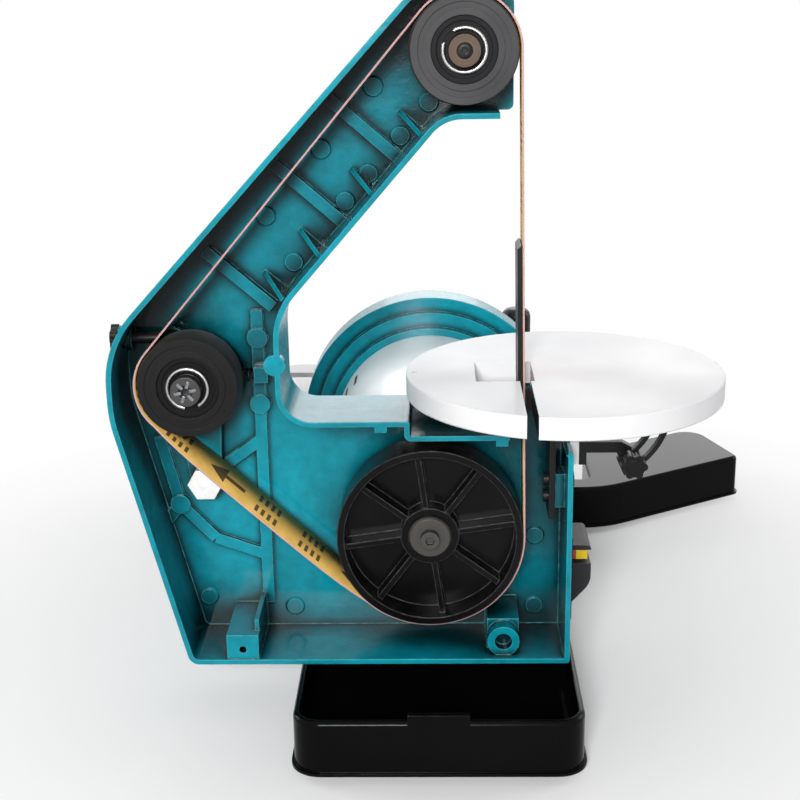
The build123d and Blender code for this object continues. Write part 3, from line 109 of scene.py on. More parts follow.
class Wiring:
    """Adds nodes to one tree and joins their sockets."""

    def __init__(self, tree: NodeTree) -> None:
        """Starts from the tree that the nodes go into."""
        self.tree = tree

    def add(self, kind: str, inputs: Optional[dict] = None, **settings: Any) -> Node:
        """Adds one node.

        Args:
            kind: the node's type name.
            inputs: values or output sockets for its inputs, by name or place.
            settings: the node's own settings.

        Returns:
            The new node.
        """
        node = self.tree.nodes.new(kind)
        for key, value in settings.items():
            setattr(node, key, value)
        for key, value in (inputs or {}).items():
            self.feed(node.inputs[key], value)
        return node

    def out(self, kind: str, inputs: Optional[dict] = None, take: Any = 0, **settings: Any) -> NodeSocket:
        """Adds one node and returns one of its outputs, the first unless another is named."""
        return self.add(kind, inputs, **settings).outputs[take]

    def feed(self, socket: NodeSocket, value: Any) -> None:
        """Gives an input what it needs.

        Args:
            socket: the input.
            value: an output to link, a colour code or a plain value.
        """
        if isinstance(value, NodeSocket):
            self.tree.links.new(value, socket)
        elif isinstance(value, str) and value.startswith("#"):
            socket.default_value = colour(value)
        else:
            socket.default_value = value

    def fill(self, node: Node, **inputs: Any) -> None:
        """Feeds a node's inputs by name, with _ for a blank."""
        for key, value in inputs.items():
            self.feed(node.inputs[key.replace("_", " ")], value)

    def calc(self, operation: str, *values: Any) -> NodeSocket:
        """Adds a Math node and returns its result."""
        return self.out("ShaderNodeMath", dict(enumerate(values)), operation=operation)

    def times(self, first: Any, *others: Any) -> Any:
        """Multiplies values by one another."""
        for value in others:
            first = self.calc("MULTIPLY", first, value)
        return first

    def below(self, first: Any, second: Any) -> NodeSocket:
        """Returns one where the first value is less than the second, and else nought."""
        return self.calc("LESS_THAN", first, second)

    def apart(self, first: Any, second: Any) -> NodeSocket:
        """Returns how far two values are apart."""
        return self.calc("ABSOLUTE", self.calc("SUBTRACT", first, second))

    def blend(self, mask: Any, first: Any, second: Any) -> NodeSocket:
        """Mixes two colours by a mask and returns the colour."""
        return self.out("ShaderNodeMix", {0: mask, 6: first, 7: second}, take=2, data_type="RGBA")

    def span(self, value: Any, low: float, high: float, to_low: Any = 0.0, to_high: Any = 1.0) -> NodeSocket:
        """Stretches a value from one range to another and returns it."""
        ends = {"From Min": low, "From Max": high, "To Min": to_low, "To Max": to_high}
        return self.out("ShaderNodeMapRange", {"Value": value, **ends}, take="Result")

    def noise(self, vector: Any, scale: Any, detail: float, roughness: float) -> NodeSocket:
        """Adds a noise texture and returns its value."""
        inputs = {"Vector": vector, "Scale": scale, "Detail": detail, "Roughness": roughness}
        return self.out("ShaderNodeTexNoise", inputs)

    def bump(self, height: Any, normal: Any, strength: float, distance: float) -> NodeSocket:
        """Bends a normal by a height and returns it."""
        inputs = {"Strength": strength, "Distance": distance, "Height": height, "Normal": normal}
        return self.out("ShaderNodeBump", inputs)

    def seen(self) -> NodeSocket:
        """Marks the rays that show a thing itself, straight or mirrored, and not only its light."""
        ray = self.add("ShaderNodeLightPath").outputs
        mirrored = self.calc("MAXIMUM", ray["Is Glossy Ray"], ray["Is Transmission Ray"])
        return self.calc("MAXIMUM", ray["Is Camera Ray"], mirrored)


class Effects:
    """The shader node groups that several finishes share."""

    def __init__(self) -> None:
        """Builds each group once."""
        self.edges = self._edges()
        self.grain = self._grain()
        self.dust = self._dust()
        self.brush = self._brush()

    @staticmethod
    def _group(name: str, inputs: dict[str, str], *outputs: str) -> tuple[Wiring, Any, Any]:
        """Starts a node group.

        Args:
            name: the group's name.
            inputs: its input sockets and their kinds.
            outputs: its output sockets, which are all numbers.

        Returns:
            The wiring of its tree, what it is given and what it gives.
        """
        tree = bpy.data.node_groups.new(name, "ShaderNodeTree")
        for label, kind in inputs.items():
            tree.interface.new_socket(label, in_out="INPUT", socket_type=f"NodeSocket{kind}")
        for label in outputs:
            tree.interface.new_socket(label, in_out="OUTPUT", socket_type="NodeSocketFloat")
        w = Wiring(tree)
        return w, w.add("NodeGroupInput").outputs, w.add("NodeGroupOutput")

    def _edges(self) -> NodeTree:
        """Finds the edges of a piece, broken up in patches as thinning paint is, for scuffed edges and
        painted edge highlights.
        """
        inputs = {"Vector": "Vector", "Round Normal": "Vector", "Amount": "Float"}
        w, given, result = self._group("edge_wear_and_highlight", inputs, "Mask")
        flat = w.out("ShaderNodeNewGeometry", take="Normal")
        pair = {0: flat, 1: given["Round Normal"]}
        edge = w.span(w.out("ShaderNodeVectorMath", pair, "Value", operation="DOT_PRODUCT"), 0.985, 0.86)
        broken = w.span(w.noise(given["Vector"], 160.0, 4.0, 0.65), 0.38, 0.66, 0.25, 1.0)
        w.fill(result, Mask=w.times(edge, broken, given["Amount"]))
        return w.tree

    def _grain(self) -> NodeTree:
        """Gives a fine surface height, broad patches of tone and the mottle of a sand casting."""
        inputs = {"Vector": "Vector", "Scale": "Float"}
        w, given, result = self._group("surface_grain", inputs, "Height", "Patch", "Mottle")
        fine = w.noise(given["Vector"], given["Scale"], 2.0, 0.5)
        broad = w.noise(given["Vector"], 9.0, 3.0, 0.55)
        cast = w.noise(given["Vector"], 95.0, 6.0, 0.62)
        w.fill(result, Height=fine, Patch=w.span(broad, 0.35, 0.68), Mottle=w.span(cast, 0.34, 0.66))
        return w.tree

    def _dust(self) -> NodeTree:
        """Lets sanding dust lie on what faces up."""
        w, given, result = self._group("sanding_dust", {"Vector": "Vector", "Amount": "Float"}, "Mask")
        normal = w.out("ShaderNodeNewGeometry", take="Normal")
        lies = w.span(w.out("ShaderNodeSeparateXYZ", {0: normal}, "Z"), 0.35, 0.95)
        clouds = w.span(w.noise(given["Vector"], 34.0, 6.0, 0.7), 0.42, 0.75)
        w.fill(result, Mask=w.times(lies, clouds, given["Amount"]))
        return w.tree

    def _brush(self) -> NodeTree:
        """Draws fine tool marks along a stretched vector."""
        w, given, result = self._group("tool_marks", {"Vector": "Vector"}, "Streak")
        w.fill(result, Streak=w.noise(given["Vector"], 1.0, 4.0, 0.6))
        return w.tree


EFFECTS = Effects()


class Skin(Wiring):
    """The wiring of one material: its shader, the place on the piece and the normal with soft edges."""

    def __init__(self, name: str, soft_edge: float, shine: float) -> None:
        """Starts an empty material.

        Args:
            name: the material's name.
            soft_edge: how softly its edges turn.
            shine: how much it mirrors.
        """
        self.material = bpy.data.materials.new(name)
        super().__init__(empty_tree(self.material))
        self.shader = self.add("ShaderNodeBsdfPrincipled", {"Specular IOR Level": shine})
        self.add("ShaderNodeOutputMaterial", {"Surface": self.shader.outputs[0]})
        self.place = self.out("ShaderNodeTexCoord", take="Object")
        self.turn = self.out("ShaderNodeBevel", {"Radius": soft_edge}, "Normal", samples=4)

    def effect(self, group: NodeTree, **inputs: Any) -> Any:
        """Places a shared effect with its own values.

        Args:
            group: the effect's node group.
            inputs: its inputs, of which Vector is the place on the piece unless it is given.

        Returns:
            The effect's outputs.
        """
        node = self.add("ShaderNodeGroup", node_tree=group)
        self.fill(node, **{"Vector": self.place, **inputs})
        return node.outputs

    def wear_and_highlight_mask(self, amount: float) -> NodeSocket:
        """Returns the mask of the edges, for scuffing and painted highlight."""
        return self.effect(EFFECTS.edges, Round_Normal=self.turn, Amount=amount)["Mask"]

    def end(self, **inputs: Any) -> Material:
        """Feeds the shader and returns the material."""
        self.fill(self.shader, **inputs)
        return self.material


@dataclass(frozen=True)
class Finish:
    """What every finish shares: its name, its colour, how softly its edges turn and how much it mirrors."""

    name: str
    base: str
    soft_edge: float = 0.8 * MM
    shine: float = 0.5

    def start(self) -> Skin:
        """Starts the finish's material."""
        return Skin(self.name, self.soft_edge, self.shine)


@dataclass(frozen=True)
class Paint(Finish):
    """Paint on a casting or a sheet: tone patches, orange peel, thin edges that are partly painted highlight,
    and painted shade in the hollows and corners.
    """

    deep: str = "#000000"
    edge: str = "#ffffff"
    # Dark teal that both the casting mottle and the painted shade blend towards.
    mottle_and_shade: str = "#021e22"
    roughness: float = 0.28
    coat: float = 0.5
    coat_roughness: float = 0.08
    peel: float = 620.0
    depth: float = 0.05 * MM
    wear_and_highlight: float = 0.5
    # Painted shade: ambient occlusion darkens deep hollows, also under other pieces, and tight corners, each
    # by a share, within a reach and over a range.
    hollow_shade: float = 0.0
    hollow: float = 38.0 * MM
    hollow_span: Pair = (0.85, 0.4)
    corner_shade: float = 0.0
    corner: float = 6.0 * MM
    corner_span: Pair = (0.96, 0.55)
    mottle: float = 0.0
    cast_depth: float = 0.25 * MM

    def material(self) -> Material:
        """Builds the paint."""
        w = self.start()
        turn = w.turn
        grain = w.effect(EFFECTS.grain, Scale=self.peel)
        tone = w.blend(grain["Patch"], self.base, self.deep)
        if self.mottle:
            tone = w.blend(w.span(grain["Mottle"], 0.0, 1.0, self.mottle, 0.0), tone, self.mottle_and_shade)
            turn = w.bump(grain["Mottle"], turn, 0.6, self.cast_depth)
        # Painted shade: ambient occlusion darkens the hollows, which other pieces shade too, and the tight
        # corners.
        for share, reach, span, alone in ((self.hollow_shade, self.hollow, self.hollow_span, False),
                                          (self.corner_shade, self.corner, self.corner_span, True)):
            if share:
                nook = w.out("ShaderNodeAmbientOcclusion", {"Distance": reach}, "AO", samples=8,
                             only_local=alone)
                tone = w.blend(w.span(nook, *span, 0.0, share), tone, self.mottle_and_shade)
        # Lighter edge colour: thin paint on edges, and on the teal also a painted highlight along rims and
        # ribs.
        tone = w.blend(w.wear_and_highlight_mask(self.wear_and_highlight), tone, self.edge)
        rough = w.span(grain["Patch"], 0.0, 1.0, self.roughness, self.roughness * 1.35)
        normal = w.bump(grain["Height"], turn, 0.5, self.depth)
        return w.end(Base_Color=tone, Roughness=rough, Normal=normal, Coat_Weight=self.coat,
                     Coat_Roughness=self.coat_roughness)


@dataclass(frozen=True)
class Metal(Finish):
    """Bare metal with dull patches and tool marks along one way, or round a Y axis through a centre."""

    dull: str = "#444444"
    roughness: float = 0.3
    way: BrushWay = BrushWay.ALONG_Y
    marks: float = 0.02 * MM
    ring_marks: float = 2600.0
    metallic: float = 1.0
    centre: Optional[tuple[float, ...]] = None

    def material(self) -> Material:
        """Builds the metal."""
        w = self.start()
        if self.way is BrushWay.TURNED and self.centre:
            back = tuple(-c for c in self.centre)
            moved = w.out("ShaderNodeMapping", {"Vector": w.place, "Location": back})
            flat = w.out("ShaderNodeVectorMath", {0: moved, 1: (1.0, 0.0, 1.0)}, operation="MULTIPLY")
            radius = w.out("ShaderNodeVectorMath", {0: flat}, "Value", operation="LENGTH")
            along = w.out("ShaderNodeCombineXYZ", {"X": w.times(radius, self.ring_marks)})
        else:
            way = BrushWay.ALONG_Y if self.way is BrushWay.TURNED else self.way
            along = w.out("ShaderNodeMapping", {"Vector": w.place, "Scale": way.value})
        streak = w.effect(EFFECTS.brush, Vector=along)["Streak"]
        patch = w.effect(EFFECTS.grain, Scale=400.0)["Patch"]
        tone = w.blend(w.span(streak, 0.3, 0.7), self.base, self.dull)
        tone = w.blend(w.wear_and_highlight_mask(0.5), tone, self.base)
        rough = w.span(streak, 0.3, 0.7, self.roughness, self.roughness * 1.4)
        return w.end(Base_Color=tone, Roughness=w.calc("ADD", rough, w.times(patch, 0.1)),
                     Normal=w.bump(streak, w.turn, 0.4, self.marks), Metallic=self.metallic)


@dataclass(frozen=True)
class Moulded(Finish):
    """Moulded plastic or rubber: fine grain, lighter scuffed edges, which on the drive wheel are also painted
    highlight, and a film of dust.
    """

    rubbed_and_highlight: str = "#555555"
    dusty: str = "#a99c86"
    roughness: float = 0.45
    grain: float = 1500.0
    depth: float = 0.04 * MM
    rub: float = 0.5
    haze: float = 0.12
    dust: float = 0.0
    sheen: float = 0.0

    def material(self) -> Material:
        """Builds the plastic or rubber."""
        w = self.start()
        grain = w.effect(EFFECTS.grain, Scale=self.grain)
        # Lighter edges: scuffing, and on the drive wheel also a painted highlight.
        tone = w.blend(w.wear_and_highlight_mask(self.rub), self.base, self.rubbed_and_highlight)
        tone = w.blend(w.times(grain["Patch"], self.haze), tone, self.rubbed_and_highlight)
        tone = w.blend(w.effect(EFFECTS.dust, Amount=self.dust)["Mask"], tone, self.dusty)
        rough = w.span(grain["Patch"], 0.0, 1.0, self.roughness, min(1.0, self.roughness * 1.3))
        normal = w.bump(grain["Height"], w.turn, 0.5, self.depth)
        return w.end(Base_Color=tone, Roughness=rough, Normal=normal, Sheen_Weight=self.sheen)


@dataclass(frozen=True)
class Grit(Finish):
    """Abrasive grain bonded on cloth or paper, clogged in patches."""

    spark: str = "#c08070"
    clogged: str = "#8d7b66"
    grain: float = 1700.0
    depth: float = 0.25 * MM

    def material(self) -> Material:
        """Builds the abrasive."""
        w = self.start()
        cells = w.add("ShaderNodeTexVoronoi", {"Vector": w.place, "Scale": self.grain}).outputs
        speck = w.out("ShaderNodeSeparateColor", {0: cells["Color"]})
        patch = w.effect(EFFECTS.grain, Scale=self.grain)["Patch"]
        tone = w.blend(w.span(speck, 0.55, 1.0, 0.0, 0.8), self.base, self.spark)
        tone = w.blend(w.times(patch, 0.3), tone, self.clogged)
        return w.end(Base_Color=tone, Roughness=w.span(speck, 0.0, 1.0, 0.95, 0.6),
                     Normal=w.bump(cells["Distance"], w.turn, 0.7, self.depth))


@dataclass(frozen=True)
class BeltCloth(Finish):
    """The woven back of the sanding belt, with printed arrows and bars in shares of the belt's width."""

    yarn: str = "#8f6a26"
    ink: str = "#2c2010"
    pitch: float = 118.0 * MM
    weave: float = 0.9 * MM
    depth: float = 0.15 * MM
    width: float = 25.4 * MM
    head_len: float = 0.55
    head_half: float = 0.3
    stem_end: float = 1.21
    stem_half: float = 0.07
    bars_from: float = 1.6
    bars_pitch: float = 1.55
    row_off: float = 0.22
    row_half: float = 0.13
    bar_step: float = 5.4 * MM
    bar_count: int = 4

    def material(self) -> Material:
        """Builds the cloth from the belt's own map: metres along, and metres across from the middle."""
        w = self.start()
        uv = w.out("ShaderNodeUVMap", uv_map="UVMap")
        parts = w.add("ShaderNodeSeparateXYZ", {0: uv}).outputs
        along, across = parts["X"], parts["Y"]
        warp, weft = (w.calc("SINE", w.times(way, FULL_TURN / self.weave)) for way in (along, across))
        cloth = w.span(w.times(warp, weft), -1.0, 1.0)
        stain = w.span(w.noise(w.place, 60.0, 5.0, 0.6), 0.4, 0.7, 0.0, 0.35)
        tone = w.blend(w.times(cloth, 0.3), self.base, self.yarn)
        tone = w.blend(stain, tone, self.yarn)
        tone = w.blend(w.times(self._marks(w, along, across), 0.92), tone, self.ink)
        return w.end(Base_Color=tone, Roughness=w.span(cloth, 0.0, 1.0, 0.55, 0.8),
                     Normal=w.bump(cloth, w.turn, 0.4, self.depth))

    def _marks(self, w: Wiring, along: NodeSocket, across: NodeSocket) -> NodeSocket:
        """Draws an arrow and groups of short bars in two rows, over and over along the belt.

        Args:
            w: the material's wiring.
            along: the distance along the belt.
            across: the distance from the belt's middle.

        Returns:
            The mask of the print.
        """
        place = w.calc("MODULO", along, self.pitch)
        off = w.calc("ABSOLUTE", across)
        head_len, bars_from = self.head_len * self.width, self.bars_from * self.width
        slope = w.span(place, 0.0, head_len, 0.0, self.head_half * self.width)
        head = w.times(w.below(off, slope), w.below(place, head_len))
        stem = w.times(w.below(off, self.stem_half * self.width), w.below(head_len, place),
                       w.below(place, self.stem_end * self.width))
        beside = w.apart(off, self.row_off * self.width)
        group = w.calc("MODULO", w.calc("SUBTRACT", place, bars_from), self.bars_pitch * self.width)
        step = w.apart(w.calc("MODULO", group, self.bar_step), self.bar_step / 2)
        bars = w.times(w.below(beside, self.row_half * self.width), w.below(step, self.bar_step / 4),
                       w.below(group, self.bar_count * self.bar_step), w.below(bars_from, place))
        return w.calc("MAXIMUM", w.calc("MAXIMUM", head, stem), bars)


# Teal paint: ambient occlusion paints shade into its corners and into the hollows under other pieces; its
# light edge colour is partly painted highlight along rims and ribs.
TEAL = Paint("teal_gloss", "#0a9caf", deep="#088696", edge="#5cc0c9", roughness=0.2, coat=0.2, wear_and_highlight=0.85,
             peel=330.0, depth=0.07 * MM, soft_edge=1.4 * MM, shine=0.12, corner_shade=0.9, hollow_shade=1.0, mottle=0.26)
OPEN_TEAL = replace(TEAL, name="teal_open", hollow_shade=0.35)
WHITE = Paint("white_satin", "#ecebec", deep="#e3e3e5", edge="#f6f6f7", roughness=0.38, coat=0.1, peel=900.0,
              wear_and_highlight=0.4, shine=0.2)
MOTOR = Paint("motor_grey", "#dfe5e7", deep="#d3dadd", edge="#eef2f3", roughness=0.3, coat=0.3, wear_and_highlight=0.4)
BLACK = Paint("black_gloss", "#060607", deep="#0a0a0b", edge="#1b1b1d", roughness=0.12, coat=0.03, peel=300.0,
              wear_and_highlight=0.4, soft_edge=1.0 * MM, shine=0.05)
# Black steel for real dark parts and print; the same finish also paints shade in the motor's slots, the top
# axle's bore and the belt table's slit walls, and darkens the table's underside.
BLACK_STEEL_AND_SHADE = Paint("black_steel", "#101011", deep="#171718", edge="#4a4a4c", roughness=0.35, coat=0.0,
                    wear_and_highlight=0.7, shine=0.2)
PLASTIC = Moulded("black_plastic", "#070708", rubbed_and_highlight="#303032", roughness=0.34, dust=0.12, shine=0.2)
SWITCH = Moulded("switch_plastic", "#1a1a1d", rubbed_and_highlight="#4b4b50", roughness=0.45, dust=0.1, shine=0.3)
# Drive wheel: its light edges are partly painted highlight along the spokes and rim.
WHEEL = Moulded("wheel_plastic", "#060607", rubbed_and_highlight="#6a6a6d", roughness=0.18, grain=700.0, depth=0.06 * MM,
                rub=0.9, haze=0.03, dust=0.06, shine=0.1, soft_edge=1.4 * MM)
RUBBER = Moulded("wheel_rubber", "#0e0e0f", rubbed_and_highlight="#333334", roughness=0.45, grain=1100.0, depth=0.07 * MM,
                 dust=0.1, sheen=0.05, shine=0.15)
TOP_RUBBER = Moulded("top_wheel_rubber", "#343436", rubbed_and_highlight="#6d6c6d", roughness=0.6, grain=800.0,
                     depth=0.2 * MM, haze=0.5, dust=0.1, shine=0.2)
RED = Moulded("red_plastic", "#c81414", rubbed_and_highlight="#e04a40", roughness=0.25)
YELLOW = Moulded("yellow_plastic", "#e8c512", rubbed_and_highlight="#f2dc60", roughness=0.25)
STEEL = Metal("bright_steel", "#c9c8c6", dull="#8f8e8c", roughness=0.28)
TURNED = Metal("turned_steel", "#5a5959", dull="#343333", roughness=0.3, way=BrushWay.TURNED)
STAR = Metal("star_steel", "#8d8f93", dull="#5f6063", roughness=0.35, way=BrushWay.CAST)
WASHER = Metal("washer_steel", "#5d5b58", dull="#3c3a38", roughness=0.42, way=BrushWay.TURNED)
TOP_AXLE = Metal("dull_axle", "#5d5046", dull="#2b2521", roughness=0.4, way=BrushWay.TURNED)
SHIELD = Metal("bearing_shield", "#242425", dull="#151516", roughness=0.4, way=BrushWay.TURNED)
DARK_STEEL = Metal("oiled_steel", "#3a3a3c", dull="#1f1f20", roughness=0.4, way=BrushWay.TURNED)
ZINC = Metal("zinc_plate", "#f1f1f0", dull="#dededd", roughness=0.35, way=BrushWay.CAST, metallic=0.35)
ALUMINIUM = Metal("cast_aluminium", "#bfc0c3", dull="#adaeb1", roughness=0.42, way=BrushWay.CAST,
                  marks=0.06 * MM)
PLATE = Metal("plate_aluminium", "#d3d4d6", dull="#bdbec1", roughness=0.35)
BAR_STEEL = Metal("ground_bar", "#c9c8c6", dull="#a5a4a2", roughness=0.25, way=BrushWay.ALONG_X)
COPPER = Metal("copper_wire", "#c47a3c", dull="#7d4820", roughness=0.4, way=BrushWay.TURNED)
BELT_GRIT = Grit("belt_grit", "#a9595a", spark="#d9a09c")
DISC_GRIT = Grit("disc_grit", "#6b3a30", spark="#a86a58", grain=1400.0)
BELT_CLOTH = BeltCloth("belt_cloth", "#e2b75d")
BELT_EDGE = Moulded("belt_edge", "#d3aaa6", rubbed_and_highlight="#8f5152", roughness=0.8, grain=2600.0, depth=0.1 * MM)


def middle(node: str) -> Vector:
    """Returns the middle of a CAD node's box."""
    low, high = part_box(node)
    return (Vector(low) + Vector(high)) / 2


def dress(finish: Finish, *names: str) -> None:
    """Gives CAD nodes a finish. The marks of turned metal run round each node's own middle.

    Args:
        finish: the finish.
        names: the CAD nodes.
    """
    turned = isinstance(finish, Metal) and finish.way is BrushWay.TURNED
    shared = None if turned else finish.material()
    for name in names:
        skin = replace(finish, centre=tuple(middle(name))).material() if turned else shared
        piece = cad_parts[name]
        piece.data.materials.clear()
        piece.data.materials.append(skin)
        LOG.info("%s: %s", name, finish.name)


def dress_where(finish: Finish, name: str, chosen: Callable[[MeshPolygon], bool]) -> None:
    """Gives some faces of a CAD node a second finish.

    Args:
        finish: the second finish.
        name: the CAD node, dressed already.
        chosen: says of a face whether it has the second finish.
    """
    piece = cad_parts[name]
    piece.data.materials.append(finish.material())
    for face in piece.data.polygons:
        if chosen(face):
            face.material_index = 1
    LOG.info("%s in part: %s", name, finish.name)


def stand(name: str, data: Any) -> Object:
    """Stands a mesh, a lamp or a camera in the scene.

    Args:
        name: the object's name.
        data: what it shows.

    Returns:
        The object.
    """
    thing = bpy.data.objects.new(name, data)
    bpy.context.scene.collection.objects.link(thing)
    return thing


def at(place: Sequence[float], axis: str = "X", turn: float = 0.0) -> Matrix:
    """Returns the matrix of a place, turned about one axis there."""
    return Matrix.Translation(place) @ Matrix.Rotation(turn, 4, axis)


def put(piece: Object, place: Matrix, body: str) -> None:
    """Moves a piece's mesh to its place and joins it to a body.

    Args:
        piece: the piece, drawn about the origin.
        place: where it goes.
        body: the CAD body that it moves with.
    """
    piece.data.transform(place)
    piece.data.update()
    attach(piece, body)
    LOG.info("%s rides on %s", piece.name, body)


class NodeShape:
    """A Geometry Nodes tree that makes one piece."""

    def __init__(self, name: str, **inputs: str) -> None:
        """Starts the tree.

        Args:
            name: the tree's name.
            inputs: its named inputs and their kinds.
        """
        tree = bpy.data.node_groups.new(name, "GeometryNodeTree")
        self.sockets = {}
        for label, kind in {"Geometry": "Geometry", **inputs}.items():
            socket = tree.interface.new_socket(label, in_out="INPUT", socket_type=f"NodeSocket{kind}")
            self.sockets[label] = socket.identifier
        tree.interface.new_socket("Geometry", in_out="OUTPUT", socket_type="NodeSocketGeometry")
        self.w = Wiring(tree)
        self.given = self.w.add("NodeGroupInput").outputs
        self.result = self.w.add("NodeGroupOutput")

    def copies(self, points: Any, piece: Any, turn: Any = (0.0, 0.0, 0.0)) -> NodeSocket:
        """Sets a copy of a piece on every point."""
        inputs = {"Points": points, "Instance": piece, "Rotation": turn}
        return self.w.out("GeometryNodeInstanceOnPoints", inputs)

    def flat_section(self) -> NodeSocket:
        """Draws a section of the tree's Width and Thickness."""
        inputs = {"Width": self.given["Width"], "Height": self.given["Thickness"]}
        return self.w.out("GeometryNodeCurvePrimitiveQuadrilateral", inputs)

    def sweep(self, path: Any, section: Any) -> NodeSocket:
        """Sweeps a section along a path and closes its ends."""
        inputs = {"Curve": path, "Profile Curve": section, "Fill Caps": True}
        return self.w.out("GeometryNodeCurveToMesh", inputs)

    def finish(self, shape: NodeSocket, skins: Optional[dict[str, Any]] = None) -> None:
        """Ends the tree: real meshes with their materials.

        Args:
            shape: what the tree has made.
            skins: the material inputs and the faces that each goes on, where there is more than one.
        """
        shape = self.w.out("GeometryNodeRealizeInstances", {0: shape})
        for label, faces in (skins or {"Material": True}).items():
            inputs = {"Geometry": shape, "Selection": faces, "Material": self.given[label]}
            shape = self.w.out("GeometryNodeSetMaterial", inputs)
        self.w.fill(self.result, Geometry=shape)

    def make(self, name: str, seed: Mesh, **values: Any) -> Object:
        """Runs the tree on a mesh and keeps the result as a plain mesh.

        Args:
            name: the new piece's name.
            seed: the mesh that goes in.
            values: the tree's inputs by name.

        Returns:
            The new piece.
        """
        piece = stand(name, seed)
        modifier = piece.modifiers.new(name, "NODES")
        modifier.node_group = self.w.tree
        for label, value in values.items():
            modifier[self.sockets[label]] = value
        graph = bpy.context.evaluated_depsgraph_get()
        mesh = bpy.data.meshes.new_from_object(piece.evaluated_get(graph), preserve_all_data_layers=True,
                                               depsgraph=graph)
        piece.modifiers.clear()
        piece.data = mesh
        return piece


class RingOfPieces(NodeShape):
    """Copies a small mesh round the Z axis, each copy facing outwards."""

    def __init__(self) -> None:
        """Builds the tree."""
        super().__init__("ring_of_pieces", Count="Int", Radius="Float", Start="Float", Step="Float",
                         Material="Material")
        w, given = self.w, self.given
        angle = w.calc("MULTIPLY_ADD", w.out("GeometryNodeInputIndex"), given["Step"], given["Start"])
        place = w.out("ShaderNodeCombineXYZ", {"X": w.times(w.calc("COSINE", angle), given["Radius"]),
                                               "Y": w.times(w.calc("SINE", angle), given["Radius"])})
        points = w.out("GeometryNodePoints", {"Count": given["Count"], "Position": place})
        self.finish(self.copies(points, given["Geometry"], w.out("ShaderNodeCombineXYZ", {"Z": angle})))


class GridOfPieces(NodeShape):
    """Copies a small mesh to the points of a flat grid."""

    def __init__(self) -> None:
        """Builds the tree."""
        super().__init__("grid_of_pieces", Columns="Int", Rows="Int", Width="Float", Height="Float",
                         Material="Material")
        given = self.given
        grid = self.w.out("GeometryNodeMeshGrid", {
            "Size X": given["Width"], "Size Y": given["Height"],
            "Vertices X": given["Columns"], "Vertices Y": given["Rows"]})
        self.finish(self.copies(grid, given["Geometry"]))


class PadsOnPoints(NodeShape):
    """Sets a flat pad with a slanted rim, facing -Y, on every point of a mesh."""

    def __init__(self) -> None:
        """Builds the tree."""
        super().__init__("pads_on_points", Radius="Float", Foot="Float", Height="Float", Material="Material")
        given = self.given
        pad = self.w.out("GeometryNodeMeshCone", {
            "Vertices": 40, "Radius Top": given["Radius"], "Radius Bottom": given["Foot"],
            "Depth": given["Height"]})
        self.finish(self.copies(given["Geometry"], pad, (QUARTER_TURN, 0.0, 0.0)))


class OpenRing(NodeShape):
    """Bends a flat strip round the Z axis and leaves a gap in it."""

    def __init__(self) -> None:
        """Builds the tree."""
        super().__init__("open_ring", Radius="Float", Start="Float", Sweep="Float", Width="Float",
                         Thickness="Float", Material="Material")
        arc = self.w.out("GeometryNodeCurveArc", {
            "Resolution": 72, "Radius": self.given["Radius"], "Start Angle": self.given["Start"],
            "Sweep Angle": self.given["Sweep"]})
        flat = self.w.out("GeometryNodeSetCurveNormal", {"Curve": arc}, mode="Z_UP")
        self.finish(self.sweep(flat, self.flat_section()))


class CoilOfWire(NodeShape):
    """Winds a round wire up the Z axis."""

    def __init__(self) -> None:
        """Builds the tree."""
        super().__init__("coil_of_wire", Turns="Float", Radius="Float", Height="Float", Wire="Float",
                         Material="Material")
        w, given = self.w, self.given
        line = w.out("GeometryNodeCurveSpiral", {
            "Resolution": 40, "Rotations": given["Turns"], "Start Radius": given["Radius"],
            "End Radius": given["Radius"], "Height": given["Height"]})
        section = w.out("GeometryNodeCurvePrimitiveCircle", {"Resolution": 12, "Radius": given["Wire"]})
        self.finish(self.sweep(line, section))


class BandOnPath(NodeShape):
    """Sweeps a flat band along a path, leans it by the path's lean and maps it in metres."""

    def __init__(self) -> None:
        """Builds the tree."""
        super().__init__("band_on_path", Width="Float", Thickness="Float", Outside="Material",
                         Inside="Material", Edge="Material")
        w, given = self.w, self.given
        line = w.out("GeometryNodeMeshToCurve", {0: given["Geometry"]})
        lean = w.out("GeometryNodeInputNamedAttribute", {"Name": "lean"}, data_type="FLOAT")
        path = w.out("GeometryNodeSetCurveTilt", {"Curve": line, "Tilt": lean})
        path, along = self._held(path, "FLOAT", w.out("GeometryNodeSplineParameter", take="Length"))
        section, spot = self._held(self.flat_section(), "VECTOR", w.out("GeometryNodeInputPosition"))
        across = w.add("ShaderNodeSeparateXYZ", {0: spot}).outputs
        flat = w.out("ShaderNodeCombineXYZ", {"X": along, "Y": across["X"]})
        band = w.out("GeometryNodeStoreNamedAttribute",
                     {"Geometry": self.sweep(path, section), "Name": "UVMap", "Value": flat},
                     data_type="FLOAT2", domain="CORNER")
        quarter = w.times(given["Thickness"], 0.25)
        sides = [w.out("FunctionNodeCompare", {0: w.times(across["Y"], sign), 1: quarter},
                       operation="GREATER_THAN") for sign in (1.0, -1.0)]
        self.finish(band, {"Edge": True, "Inside": sides[0], "Outside": sides[1]})

    def _held(self, curve: NodeSocket, kind: str, value: NodeSocket) -> tuple[NodeSocket, NodeSocket]:
        """Keeps a value on a curve's points for the swept band.

        Args:
            curve: the curve.
            kind: the value's kind.
            value: what each point keeps.

        Returns:
            The curve and the kept value.
        """
        node = self.w.add("GeometryNodeCaptureAttribute", domain="POINT")
        node.capture_items.new(kind, "Held")
        self.w.feed(node.inputs[0], curve)
        self.w.feed(node.inputs[1], value)
        return node.outputs[0], node.outputs[1]


